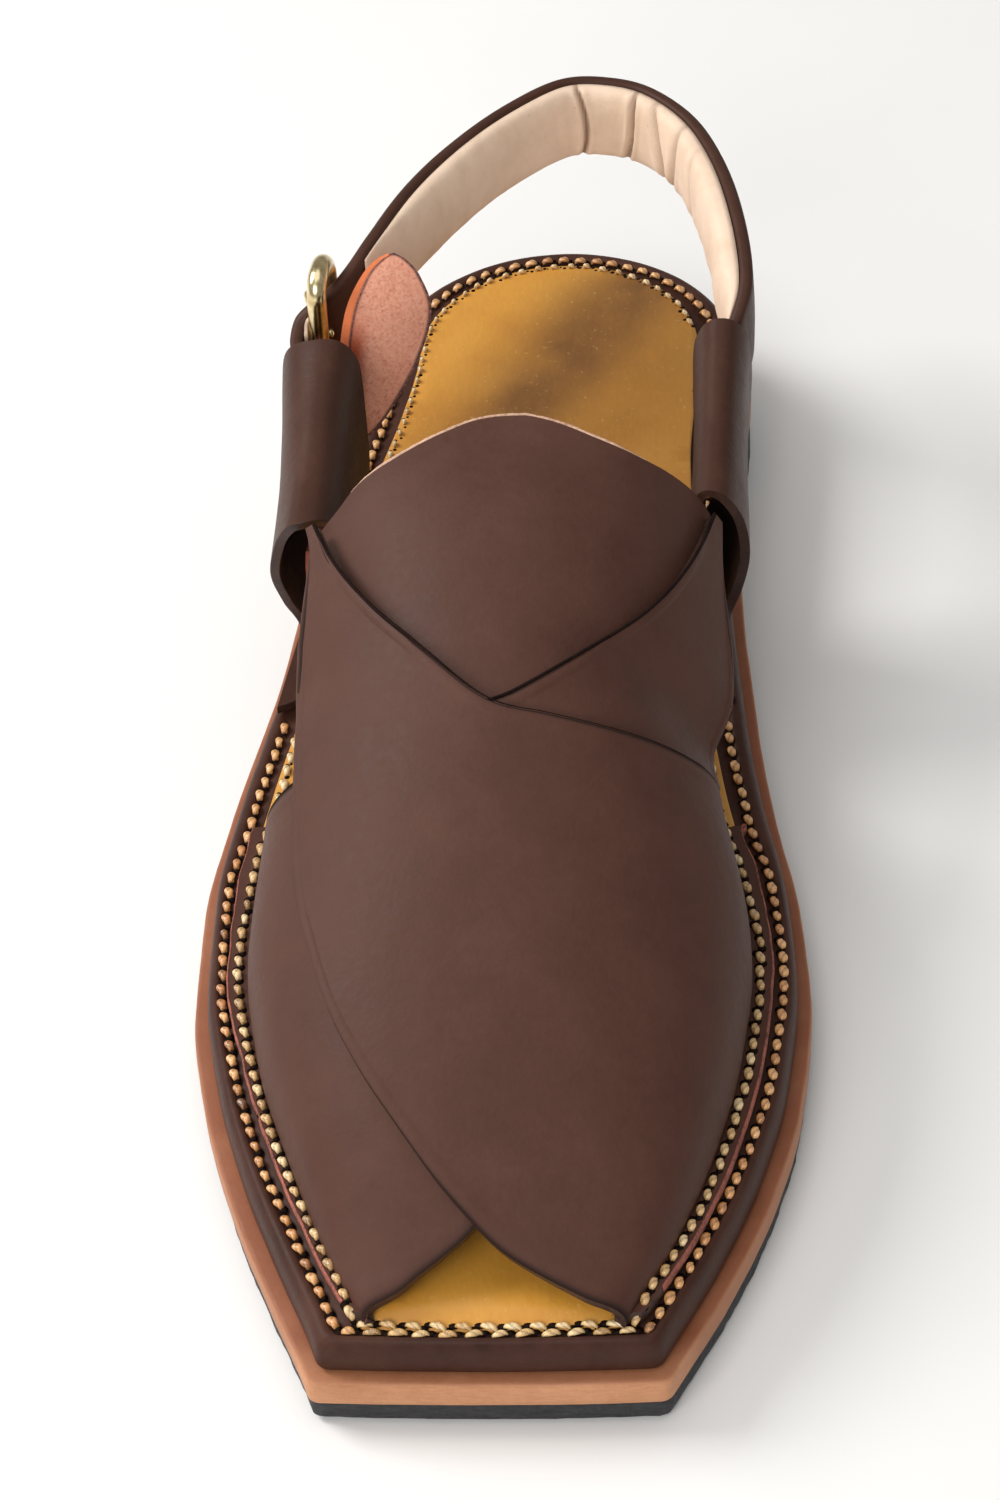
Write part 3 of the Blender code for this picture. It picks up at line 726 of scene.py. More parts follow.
@dataclass(frozen=True)
class WaxedThread(Finish):
    """Thick two-ply waxed thread, golden, its tone changing from stitch to stitch, with painted shade in its lay and
    where it dives into its holes.
    """

    name: str
    pale: Colour
    gold: Colour
    shade: Colour

    def build(self, graph: Graph) -> Material:
        """Tone per stitch, fibre streaks, and painted shade in the lay and at the stitch ends.

        Args:
            graph: The new material's nodes.

        Returns:
            The material.
        """
        fibre = graph.noise(0.34, 3.0, 0.7)
        tone = graph.sum(graph.times(graph.stored("tone"), 0.55), graph.times(fibre, 0.45))
        base = graph.ramp(tone, ((0.24, self.shade), (0.46, self.gold), (0.70, self.pale)))
        base = graph.mix(graph.times(graph.stored("painted_thread_shade"), 0.85), base, self.shade)
        normal = graph.bump((fibre, 0.10))
        return graph.finish(base, graph.span(fibre, 0.3, 0.7, 0.20, 0.38), normal, Specular_IOR_Level=0.95,
                            Coat_Weight=0.35, Coat_Roughness=0.16)


@dataclass(frozen=True)
class PlainEdge(Finish):
    """A cut, raw or burnished leather edge: fibres across a base colour."""

    name: str
    colour: Colour
    fleck: Colour
    rough: float = 0.7
    depth: float = 0.08
    shine: float = 0.5

    def build(self, graph: Graph) -> Material:
        """Two-tone fibres with fine fuzz.

        Args:
            graph: The new material's nodes.

        Returns:
            The material.
        """
        fibre = graph.noise(0.7, 4.0, 0.7)
        patch = graph.noise(5.0, 2.0)
        tone = graph.sum(graph.times(fibre, 0.6), graph.times(patch, 0.4))
        base = graph.ramp(tone, ((0.36, self.fleck), (0.58, self.colour)))
        return graph.finish(base, self.rough, graph.bump((fibre, self.depth)), Specular_IOR_Level=self.shine)


@dataclass(frozen=True)
class Suede(Finish):
    """Raw flesh side: short nap in tufts, a dark line along the cut, an orange painted band, and red dye low down."""

    name: str = "pink_suede"
    pale: Colour = (0.92, 0.465, 0.315)
    mid: Colour = (0.84, 0.350, 0.230)
    dark: Colour = (0.58, 0.205, 0.130)
    dye: Colour = (0.50, 0.075, 0.022)
    painted: Colour = (0.90, 0.24, 0.085)
    line: Colour = (0.085, 0.030, 0.034)

    def build(self, graph: Graph) -> Material:
        """Nap from fine noise, then the stored dye, painted band and dark rim.

        Args:
            graph: The new material's nodes.

        Returns:
            The material.
        """
        nap = graph.noise(0.55, 4.0, 0.75)
        tuft = graph.noise(1.2, 3.0, 0.6)
        tone = graph.sum(graph.times(nap, 0.75), graph.times(tuft, 0.25))
        base = graph.ramp(tone, ((0.34, self.dark), (0.46, self.mid), (0.60, self.pale)))
        base = graph.mix(graph.stored("dyed"), base, self.dye)
        rim = graph.times(graph.stored("rim"), graph.span(nap, 0.3, 0.6, 0.5, 1.2))
        base = graph.mix(graph.span(graph.stored("band"), 0.45, 0.6), base, self.painted)
        base = graph.mix(rim, base, self.line)
        return graph.finish(base, 0.92, graph.bump((nap, 0.22), (tuft, 0.12)), Sheen_Weight=0.2, Sheen_Roughness=0.5)


@dataclass(frozen=True)
class LiningLeather(Finish):
    """Soft beige lining leather over foam: fine wrinkles, pores and a slight worn shine."""

    name: str = "beige_lining"
    pale: Colour = (0.83, 0.630, 0.475)
    mid: Colour = (0.74, 0.545, 0.395)
    deep: Colour = (0.25, 0.145, 0.090)

    def build(self, graph: Graph) -> Material:
        """Wrinkles across the strap and a stored darkening in the pleats.

        Args:
            graph: The new material's nodes.

        Returns:
            The material.
        """
        base = graph.ramp(graph.noise(9.0, 4.0, 0.6), ((0.35, self.mid), (0.6, self.pale)))
        base = graph.mix(graph.stored("pleat"), base, self.deep)
        wrinkle = graph.noise(2.4, 4.0, 0.6, graph.stretched((1.0, 1.0, 0.45)))
        pore = graph.cells(0.8, "SMOOTH_F1")
        specks = graph.span(graph.noise(0.9, 3.0, 0.7), 0.66, 0.75)
        base = graph.mix(graph.times(specks, 0.35), base, self.deep)
        return graph.finish(base, 0.58, graph.bump((wrinkle, 0.16), (pore, 0.03)), Sheen_Weight=0.1)


@dataclass(frozen=True)
class PaleBrass(Finish):
    """Polished pale brass with hairline scratches and slight tarnish."""

    name: str = "pale_brass"
    bright: Colour = (0.86, 0.72, 0.42)
    tarnish: Colour = (0.52, 0.38, 0.17)

    def build(self, graph: Graph) -> Material:
        """Metal with tarnish patches and scratch roughness.

        Args:
            graph: The new material's nodes.

        Returns:
            The material.
        """
        patch = graph.noise(3.5, 4.0, 0.6)
        hair = graph.noise(1.2, 5.0, 0.8, graph.stretched((5.0, 5.0, 0.6)))
        base = graph.ramp(patch, ((0.35, self.tarnish), (0.6, self.bright)))
        gloss = graph.span(hair, 0.3, 0.7, 0.13, 0.30)
        return graph.finish(base, gloss, graph.bump((hair, 0.012)), Metallic=1.0)


@dataclass(frozen=True)
class StudioPaper(Finish):
    """Pale seamless paper under the shoe."""

    name: str = "studio_paper"
    colour: Colour = (0.90, 0.895, 0.885)

    def build(self, graph: Graph) -> Material:
        """Barely mottled matt paper.

        Args:
            graph: The new material's nodes.

        Returns:
            The material.
        """
        shaded = tuple(c * 0.985 for c in self.colour)
        base = graph.ramp(graph.noise(60.0, 3.0), ((0.3, shaded), (0.7, self.colour)))
        return graph.finish(base, 0.9)


BROWN = GrainLeather("brown_leather", dark=(0.070, 0.0285, 0.0190), mid=(0.084, 0.0350, 0.0238),
                     light=(0.099, 0.0430, 0.0297), scuff=(0.15, 0.09, 0.07), rough=0.56, shine=0.18)
LOOP_BROWN = GrainLeather("loop_leather", dark=(0.046, 0.019, 0.0125), mid=(0.060, 0.025, 0.016),
                          light=(0.078, 0.034, 0.023), scuff=(0.14, 0.08, 0.06), rough=0.46, coat=0.02, shine=0.13)
RIM_BROWN = GrainLeather("rim_leather", dark=(0.036, 0.0130, 0.0082), mid=(0.058, 0.0225, 0.0145),
                         light=(0.082, 0.034, 0.022), scuff=(0.17, 0.11, 0.085),
                         rough=0.48, scuff_share=0.5, shine=0.14)
# Flesh side of the brown leathers, made dark brown as painted shade so the insides of the loops read dark.
SHADED_FLESH = PlainEdge("flesh_side_painted_shade", (0.085, 0.040, 0.027), (0.045, 0.020, 0.014), 0.85, 0.12)
BURNISHED = PlainEdge("burnished_edge", (0.050, 0.020, 0.014), (0.020, 0.008, 0.006), 0.45)
RAW_RED = PlainEdge("raw_red_edge", (0.42, 0.125, 0.085), (0.10, 0.032, 0.024), 0.75, 0.14)
RAW_PALE = PlainEdge("raw_pale_edge", (0.72, 0.47, 0.33), (0.40, 0.22, 0.14), 0.75)
RAW_ORANGE = PlainEdge("raw_orange_edge", (0.86, 0.20, 0.060), (0.66, 0.115, 0.030), 0.62, 0.05)
TAB_RED = PlainEdge("raw_tab", (0.34, 0.085, 0.050), (0.13, 0.035, 0.024), 0.8, 0.12)
# Near-black painted shade: the inside of the awl holes and the shadow lines along the panels' rear edges.
SHADE_BLACK = PlainEdge("painted_shade_black", (0.018, 0.009, 0.007), (0.008, 0.004, 0.003), 0.9, shine=0.08)
MUSTARD = SockLeather()
LINING = LiningLeather()
GOLD_THREAD = WaxedThread("gold_thread", (0.97, 0.74, 0.40), (0.74, 0.45, 0.165), (0.16, 0.070, 0.020))
AMBER_THREAD = WaxedThread("amber_thread", (0.93, 0.52, 0.20), (0.66, 0.285, 0.078), (0.13, 0.050, 0.018))


# -------- sole
class Seam(Enum):
    """Lines laid round the sole; each is a column of the seam table."""

    LEDGE = 0
    OUTER = 1
    RAW = 2
    INNER = 3


@dataclass(frozen=True)
class SoleShape:
    """Outline and lift of the sole; every layer, stitch row and panel foot is laid from it."""

    length: float = 289.0
    heel_radius: float = 38.5
    heel_x: float = 5.5
    heel_breast: float = 68.0
    toe_corner: float = 1.7
    toe_bulge: float = 0.6
    toe_trim: float = 0.6
    seat: float = 17.4  # height of the rim's flat above the lift
    outline: Rows = (  # station Y, lateral X, medial X
        (-144.5, -26.7, 30.1), (-137.0, -29.8, 33.7), (-124.0, -35.6, 39.9), (-105.0, -43.25, 47.1),
        (-85.0, -49.3, 51.9), (-62.0, -53.4, 53.9), (-39.0, -54.0, 52.3), (-16.0, -51.4, 48.1),
        (0.0, -48.5, 45.8), (16.0, -45.3, 44.2), (33.0, -43.1, 42.7), (50.0, -41.0, 41.9),
        (68.0, -37.8, 41.7), (86.0, -34.8, 42.9), (106.0, -33.0, 44.0))
    lift_rows: Rows = (  # station Y, lift
        (-144.5, 0.7), (-128.0, 0.2), (-112.0, 0.0), (-50.0, 0.0), (-20.0, 1.2), (15.0, 4.0),
        (50.0, 6.8), (80.0, 8.0), (144.5, 8.0))
    seams: Rows = (  # station Y, then insets of ledge, outer row, raw edge, inner row: lateral, then medial
        (-144.5, 2.1, 4.5, 8.1, 5.6, 2.1, 4.5, 5.6, 5.6), (-143.0, 2.3, 6.3, 8.1, 9.3, 2.1, 4.7, 5.6, 7.0),
        (-125.0, 2.7, 6.4, 8.1, 9.35, 2.3, 4.8, 5.6, 7.1), (-105.0, 2.8, 6.1, 8.0, 9.1, 2.4, 4.9, 6.1, 7.9),
        (-85.0, 2.8, 5.9, 7.7, 8.85, 2.45, 4.95, 6.5, 8.55), (-62.0, 2.8, 5.6, 6.8, 8.7, 2.45, 4.8, 6.45, 8.6),
        (-40.0, 2.8, 5.4, 7.2, 9.75, 2.45, 5.2, 7.2, 9.9), (-24.0, 2.8, 6.4, 7.6, 10.7, 2.45, 6.4, 7.9, 11.4),
        (0.0, 2.8, 6.4, 7.8, 10.1, 2.45, 6.4, 8.2, 10.3), (50.0, 2.6, 6.1, 8.2, 10.2, 2.4, 6.1, 8.2, 10.2),
        (90.0, 2.5, 6.6, 8.2, 11.0, 2.4, 6.6, 8.2, 11.0), (144.5, 2.4, 7.0, 8.0, 11.7, 2.4, 7.0, 8.0, 11.7))

    @property
    def toe(self) -> float:
        """Station of the toe line."""
        return self.toe_trim - self.length / 2

    def seam(self, y: Array, side: Side, line: Seam) -> Array:
        """Inset of a laid line at a station.

        Args:
            y: Stations.
            side: Which side of the sole.
            line: Which line.

        Returns:
            Distances from the sole's edge.
        """
        first = 1 if side is Side.LATERAL else 5
        return follow(self.seams, first + line.value, np.asarray(y, float))

    def beside(self, y: Array, side: Side, line: Seam) -> Array:
        """Find a laid line beside the foot.

        Args:
            y: Stations.
            side: Side of the foot.
            line: The laid line.

        Returns:
            X of the line at the stations.
        """
        column, step = (1 if side is Side.LATERAL else 2), 0.5
        edge = follow(self.outline, column, y, True)
        ahead = follow(self.outline, column, y + step, True)
        return edge - side.value * self.seam(y, side, line) * np.hypot(1.0, (ahead - edge) / step)

    @property
    def heel_y(self) -> float:
        """Station of the heel curve's centre."""
        return self.length / 2 - self.heel_radius

    def lift(self, y: Array) -> Array:
        """Height that the sole has gained at a station."""
        return follow(self.lift_rows, 1, y, True)

    def half(self, side: Side, inset: Inset, side_steps: int = 170, heel_steps: int = 40) -> Array:
        """Lay points along one side of the sole moved in by an inset.

        Args:
            side: Which side.
            inset: Distance from the sole's edge, or a function of the station.
            side_steps: Points along the straight part.
            heel_steps: Points round the heel.

        Returns:
            Points (x, y) from the toe corner to the back of the heel.
        """
        depth = inset if callable(inset) else (lambda y, _: np.full_like(np.asarray(y, float), inset))
        sign = side.value
        column = 1 if side is Side.LATERAL else 2
        y = np.linspace(self.toe, self.heel_y, 500)
        edge = follow(self.outline, column, y, True)
        slope = np.gradient(edge, y)
        slope[-1] = 0.0
        size = np.hypot(1.0, slope)
        move = depth(y, side)
        line = np.stack([edge - sign * move / size, y + sign * slope * move / size], axis=1)
        toe = self.toe + float(depth(np.array([-self.length / 2]), side)[0])
        corner_x = float(np.interp(toe, line[:, 1], line[:, 0]))
        first = np.array([corner_x - sign * self.toe_corner, toe])
        last_y = toe + self.toe_corner * 0.9
        last = np.array([np.interp(last_y, line[:, 1], line[:, 0]), last_y])
        corner = np.array([corner_x, toe])
        t = np.linspace(0, 1, 9)[:-1, None]
        bend = (1 - t)**2 * first + 2 * t * (1 - t) * corner + t * t * last
        rows = np.linspace(last_y, self.heel_y, side_steps, endpoint=False)
        rows = np.sort(np.append(rows, [self.heel_breast, self.heel_breast + 1.5]))
        straight = np.stack([np.interp(rows, line[:, 1], line[:, 0]), rows], axis=1)
        angle = np.linspace(0, math.pi / 2, heel_steps + 1)
        radius = self.heel_radius - float(depth(np.array([self.heel_y + 20]), side)[0])
        heel = np.stack([self.heel_x + sign * radius * np.cos(angle), self.heel_y + radius * np.sin(angle)], axis=1)
        return np.vstack([bend, straight, heel])

    def ring(self, inset: Inset, toe_steps: int = 26) -> Array:
        """Closed loop of points round the sole at an inset.

        Args:
            inset: Distance from the sole's edge, or a function of the station.
            toe_steps: Points along the toe line.

        Returns:
            Points (x, y): toe line from lateral to medial, medial side, heel, lateral side.
        """
        lateral = self.half(Side.LATERAL, inset)
        medial = self.half(Side.MEDIAL, inset)
        t = np.linspace(0, 1, toe_steps + 1)[1:-1, None]
        toe = lateral[0] + (medial[0] - lateral[0]) * t
        toe[:, 1] -= self.toe_bulge * (1 - (2 * t[:, 0] - 1)**2)
        return np.vstack([toe, medial, lateral[:-1][::-1]])


def across_foot(base: int, ring: int, half: int) -> Faces:
    """Faces across the foot between the two sides of one loop.

    Args:
        base: First vertex of the loop.
        ring: Points in the loop.
        half: Points along one side.

    Returns:
        The faces.
    """
    toe = ring - (2 * half - 1)
    medial = [base + toe + k for k in range(half)]
    lateral = [base + toe + 2 * half - 2 - k for k in range(half - 1)] + [medial[-1]]
    faces = [tuple([lateral[1], lateral[0]] + [base + k for k in range(toe)] + [medial[0], medial[1]])]
    for k in range(1, half - 1):
        faces.append((lateral[k], medial[k], medial[k + 1], lateral[k + 1]))
    return faces


@dataclass(frozen=True)
class LayerRow:
    """One line of a sole layer's section: inset, height and how far it wanders, all in millimetres."""

    inset: Inset
    height: float
    rough: float = 0.0


@dataclass
class SoleLayer:
    """A layer of the sole lofted from section rows all round the outline."""

    name: str
    node: str
    slot: str
    rows: Sequence[LayerRow]
    finish: Finish
    shape: SoleShape = field(default_factory=SoleShape)
    grounded: float = -1.0  # rows lower than this follow the heel block to the ground
    grit: float = 1.1  # size of the roughness along a row
    breast_run: float = 1.5  # run over which the heel block's front drops
    stain: Optional[Callable[[Array], Array]] = None

    def floor(self, y: Array) -> Array:
        """Underside of the outsole: the lift, then the heel block down to the ground."""
        drop = np.clip(1 - (y - self.shape.heel_breast) / self.breast_run, 0, 1)
        return self.shape.lift(y) * np.where(y <= self.shape.heel_breast, 1.0, drop)

    def build(self) -> Piece:
        """Loft the section and close the top and bottom across the foot.

        Returns:
            The finished piece.
        """
        loops = []
        for row in self.rows:
            ring = self.shape.ring(row.inset)
            y = ring[:, 1]
            lifted = self.floor(y) if row.height < self.grounded else self.shape.lift(y)
            points = np.column_stack([ring, row.height + lifted])
            if row.rough:
                run = unit(np.roll(points, -1, axis=0)[:, :2] - np.roll(points, 1, axis=0)[:, :2])
                shake = ripple(points, self.grit, 3.1) + 0.6 * ripple(points, self.grit * 0.45, 7.7)
                points = points + right_of(run) * (shake * row.rough)[:, None]
                points[:, 2] += 0.5 * row.rough * ripple(points, self.grit * 0.8, 5.2)
            loops.append(points)
        count = len(loops[0])
        faces = grid_faces(len(loops), count, True)
        half = len(self.shape.half(Side.MEDIAL, 0.0))
        for base in (0, (len(loops) - 1) * count):
            faces += across_foot(base, count, half)
        mesh = make_mesh(self.name, np.vstack(loops), faces, WELD)
        if self.stain:
            places = np.array([v.co for v in mesh.vertices]) / MM
            places[:, 2] -= self.shape.lift(places[:, 1])
            mark(mesh, "stain", self.stain(places))
        mesh.set_sharp_from_angle(angle=math.radians(50))
        return Piece(self.name, mesh, self.slot, (self.finish,), self.node)


@dataclass
class SoleStack:
    """Rubber outsole, tan midsole, rolled brown rim and mustard insole."""

    shape: SoleShape = field(default_factory=SoleShape)
    tan_low: float = 4.0  # undersides of the layers above the lift
    rim_low: float = 9.7
    sock_low: float = 17.25
    sock: float = 1.1
    deep: float = 16.0  # inset at which a section ends under the next layer
    tread: Rows = (  # inset, height and wander of the rubber's section, from the top down
        (16.0, 3.7, 0.0), (1.4, 3.7, 0.0), (0.75, 3.62, 0.08), (0.6, 3.3, 0.12), (0.55, 2.6, 0.13),
        (0.5, 1.9, 0.14), (0.5, 0.95, 0.17), (0.55, 0.4, 0.2), (0.8, 0.0, 0.12), (1.8, 0.0, 0.0),
        (16.0, 0.0, 0.0))
    board: Rows = (  # the same for the tan leather
        (16.0, 5.4, 0.0), (3.4, 5.4, 0.0), (0.85, 5.36, 0.0), (0.5, 5.26, 0.06), (0.2, 5.0, 0.08),
        (0.1, 4.4, 0.09), (0.05, 3.0, 0.09), (0.05, 1.4, 0.09), (0.1, 0.4, 0.09), (0.6, 0.0, 0.0),
        (16.0, 0.0, 0.0))
    roll: Rows = (  # share of the way from ledge to outer stitches, distance further in, height
        (0.22, 0.0, 0.0), (0.09, 0.0, 0.35), (0.02, 0.0, 0.95), (0.0, 0.0, 1.9), (0.01, 0.0, 3.0),
        (0.03, 0.0, 4.0), (0.08, 0.0, 5.0), (0.15, 0.0, 5.75), (0.26, 0.0, 6.4), (0.40, 0.0, 6.9),
        (0.56, 0.0, 7.15), (0.70, 0.0, 7.12), (0.82, 0.0, 6.85), (0.92, 0.0, 6.5), (1.0, 0.15, 6.36),
        (1.0, 0.8, 6.4), (1.0, 1.3, 6.55), (1.0, 2.2, 6.95), (1.0, 10.0, 7.2))

    def outsole(self) -> Piece:
        """Black rubber with a knife-cut side and a heel block.

        Returns:
            The finished piece.
        """
        rows = [LayerRow(*row) for row in self.tread]
        return SoleLayer("rubber_outsole", "outsole", "sole_rubber", rows, CutRubber(), self.shape,
                         grounded=0.97).build()

    def midsole(self) -> Piece:
        """Tan leather board, its top ledge stained brown by the rim's dye.

        Returns:
            The finished piece.
        """
        def stain(places: Array) -> Array:
            """Stain strong on the top ledge; the sides behind the toe are made darker too, less strongly."""
            top = ease(places[:, 2], 8.85, 9.3)
            sides = 0.42 * ease(places[:, 1], -141.0, -132.0)
            return np.clip(0.62 * top + sides, 0, 1)

        rows = [LayerRow(inset, self.tan_low + high, rough) for inset, high, rough in self.board]
        return SoleLayer("tan_midsole", "midsole", "midsole_leather", rows, SoleLeather(), self.shape,
                         grit=9.0, stain=stain).build()

    def rim(self) -> Piece:
        """Brown covered board: a fat roll outside, a stitch groove, then a flat for the panels.

        Returns:
            The finished piece.
        """
        rows = [LayerRow(self.deep, self.rim_low)]
        for share, beyond, high in self.roll:
            rows.append(LayerRow(self.roll_at(share, beyond), self.rim_low + high, 0.05 if high > 0.3 else 0.0))
        return SoleLayer("rolled_rim", "rim", "brown_leather", rows, RIM_BROWN, self.shape, grit=11.0).build()

    def roll_at(self, share: float, beyond: float) -> Inset:
        """Inset for one line of the roll.

        Args:
            share: Share of the way from the ledge line to the outer stitch row.
            beyond: Distance further in.

        Returns:
            Inset as a function of station and side.
        """
        def depth(y: Array, side: Side) -> Array:
            """Inset at a station."""
            ledge = self.shape.seam(y, side, Seam.LEDGE)
            return ledge + (self.shape.seam(y, side, Seam.OUTER) - ledge) * share + beyond

        return depth

    def insole(self) -> Piece:
        """Mustard sock leather, with a painted brown shadow on the heel seat.

        Returns:
            The finished piece.
        """
        shape = self.shape

        def border(y: Array) -> Array:
            """Inset of the insole's edge."""
            return np.where(np.asarray(y) < shape.toe + 0.9, 5.3, 9.2 + 1.4 * ease(y, 55.0, 110.0))

        loops = []
        section = ((0.0, 0.1), (0.0, self.sock - 0.25), (0.3, self.sock), (4.0, self.sock), (self.deep, self.sock))
        for extra, height in section:
            ring = shape.ring(lambda y, _, e=extra: border(y) + e)
            pressed = 1.6 * ease(ring[:, 1] - shape.toe, 8.6, 5.4)
            z = self.sock_low + height + shape.lift(ring[:, 1]) - pressed
            loops.append(np.column_stack([ring, z]))
        count = len(loops[0])
        half = len(shape.half(Side.MEDIAL, 0.0))
        faces = grid_faces(len(loops), count, True) + across_foot(0, count, half)
        faces += across_foot((len(loops) - 1) * count, count, half)
        mesh = make_mesh("mustard_insole", np.vstack(loops), faces, WELD)
        self.cut_and_paint_shadow(mesh)
        return Piece("mustard_insole", mesh, "insole_leather", (MUSTARD,), "insole")

    def cut_and_paint_shadow(self, mesh: Mesh) -> None:
        """Cut the top into small cells, then store where brown shade is painted: the heel strap's cast shadow and a
        faint darkening under the panels.

        Args:
            mesh: The insole.
        """
        build = bmesh.new()
        build.from_mesh(mesh)
        cuts = [((0.0, y, 0.0), (0, 1, 0)) for y in np.arange(-140, 144, 4) * MM]
        cuts += [((x, 0.0, 0.0), (1, 0, 0)) for x in np.arange(-36, 37, 4) * MM]
        for place, facing in cuts:
            everything = [*build.verts, *build.edges, *build.faces]
            bmesh.ops.bisect_plane(build, geom=everything, plane_co=place, plane_no=facing)
        bmesh.ops.recalc_face_normals(build, faces=build.faces)
        build.to_mesh(mesh)
        build.free()
        mesh.shade_smooth()
        mesh.set_sharp_from_angle(angle=math.radians(50))
        co = np.array([v.co for v in mesh.vertices]) / MM
        # Painted shade: a faint darkening under the panels, kept off the toe opening, and the heel strap's cast
        # shadow as a soft diagonal band across the heel seat.
        under = ease(co[:, 1], 52.0, 18.0) * ease(co[:, 1], -105.0, -60.0) * 0.15
        across = 0.89 * co[:, 0] - 0.45 * (co[:, 1] - 112.0)
        shade = ease(across, -12.0, 12.0) * (1 - 0.52 * ease(across, 13.0, 27.0))
        shade = shade * (1 - 0.65 * ease(co[:, 1], 126.0, 141.0)) * (1 - ease(co[:, 1], 88.0, 40.0))
        mark(mesh, "painted_shadow", np.clip(under + shade, 0, 1))


# -------- stitching
@dataclass
class StitchRow:
    """A row of thick hand stitches, each a bent two-ply length that dives into its holes."""

    name: str
    finish: WaxedThread
    pitch: float = 3.4
    length: float = 2.75
    width: float = 1.4
    height: float = 1.1
    slant: float = 14.0
    sink: float = 0.5
    seed: int = 5
    rear_size: float = 1.0
    gap: tuple[float, float] = (999.0, 999.0)  # stations left bare on both sides
    medial_gap: tuple[float, float] = (999.0, 999.0)  # and on the medial side only

    def build(self, path: Array) -> list[Piece]:
        """Sew along a path.

        Args:
            path: Points on the leather's surface, in millimetres.

        Returns:
            The thread piece and the awl holes.
        """
        dice = np.random.default_rng(self.seed)
        gone = lengths(path)
        count = int(gone[-1] / self.pitch)
        step = gone[-1] / count
        at = (np.arange(count) + 0.5) * step + dice.normal(0, 0.10, count)
        station = np.interp(at, gone, path[:, 1])
        medial = np.interp(at, gone, path[:, 0]) > 0
        shut = (station > self.gap[0]) & (station < self.gap[1])
        at = at[~(shut | (medial & (station > self.medial_gap[0]) & (station < self.medial_gap[1])))]
        count = len(at)
        centre, ahead, behind = (np.stack([np.interp(np.clip(at + shift, 0, gone[-1]), gone, path[:, k])
                                           for k in range(3)], axis=1) for shift in (0.0, 1.4, -1.4))
        run = unit(ahead - behind)
        side = unit(np.cross(UP, run))
        up = np.cross(run, side)
        turn = np.radians(self.slant + dice.normal(0, 4.5, count))[:, None]
        run, side = run * np.cos(turn) + side * np.sin(turn), side * np.cos(turn) - run * np.sin(turn)
        centre = centre + side * dice.normal(0, 0.09, count)[:, None] + up * dice.normal(0, 0.04, count)[:, None]
        size = (1 + dice.normal(0, 0.06, count)) * (1 - (1 - self.rear_size) * ease(centre[:, 1], 50.0, 80.0))
        rings, spokes = 17, 20
        u = np.linspace(-1, 1, rings)
        theta = np.linspace(0, 2 * math.pi, spokes, endpoint=False)
        girth = np.sqrt(np.clip(1 - np.abs(u)**2.5, 0.012, 1))
        twist = np.abs(np.cos(theta[None, :] - 0.8 * math.pi * u[:, None] - 0.5))
        ply = 0.90 + 0.22 * twist
        wide = 0.5 * self.width * girth[:, None] * ply * np.cos(theta)[None, :]
        tall = 0.5 * self.height * girth[:, None] * ply * np.sin(theta)[None, :]
        rise = self.height * 0.46 * (1 - np.abs(u)**2.2) - self.sink * np.abs(u)**5
        along = 0.5 * self.length * u
        points = (centre[:, None, None, :]
                  + run[:, None, None, :] * (along[None, :, None, None] * size[:, None, None, None])
                  + side[:, None, None, :] * (wide[None, :, :, None] * size[:, None, None, None])
                  + up[:, None, None, :] * (tall + rise[:, None])[None, :, :, None])
        block = rings * spokes
        single = rod_faces(rings, spokes)
        faces = [tuple(v + k * block for v in face) for k in range(count) for face in single]
        mesh = make_mesh(self.name, points.reshape(-1, 3), faces)
        tone = np.repeat(np.clip(dice.normal(0.5, 0.17, count) + 0.25 * ease(centre[:, 1], -45.0, -5.0), 0, 1), block)
        # Painted shade: darker where the thread dives into its holes and in the groove between its plies.
        painted_thread_shade = np.tile(np.repeat(ease(np.abs(u), 0.70, 1.0), spokes), count)
        lay = np.tile((0.75 * (1 - twist)**1.4).ravel(), count)
        mark(mesh, "tone", tone)
        mark(mesh, "painted_thread_shade", np.clip(painted_thread_shade + lay, 0, 1))
        thread = Piece(self.name, mesh, "brown_leather", (self.finish,))
        return [thread, self.holes(centre, run, side, up)]

    def holes(self, centre: Array, run: Array, side: Array, up: Array) -> Piece:
        """Near-black discs at the stitch ends, painted shade standing for the inside of the awl holes.

        Args:
            centre: Stitch centres.
            run: Direction of each stitch.
            side: Sideways direction of each stitch.
            up: Surface direction at each stitch.

        Returns:
            The finished piece.
        """
        count, spokes = len(centre), 10
        theta = np.linspace(0, 2 * math.pi, spokes, endpoint=False)
        points = []
        faces = []
        for end in (-1, 1):
            middle = centre + run * (end * self.length * 0.50)
            wide = (1 - 0.42 * ease(centre[:, 1], -45.0, 0.0))[:, None, None]
            disc = (middle[:, None, :] + run[:, None, :] * wide * (0.85 * np.cos(theta))[None, :, None]
                    + side[:, None, :] * wide * (0.80 * np.sin(theta))[None, :, None] - up[:, None, :] * 0.10)
            crown = middle + up * 0.16
            base = sum(len(p) for p in points)
            points += [disc.reshape(-1, 3), crown]
            for k in range(count):
                for j in range(spokes):
                    a = base + k * spokes + j
                    b = base + k * spokes + (j + 1) % spokes
                    faces.append((a, b, base + count * spokes + k))
                faces.append(tuple(base + k * spokes + j for j in range(spokes - 1, -1, -1)))
        mesh = make_mesh(self.name + "_holes", np.vstack(points), faces)
        return Piece(self.name + "_holes", mesh, "brown_leather", (SHADE_BLACK,))


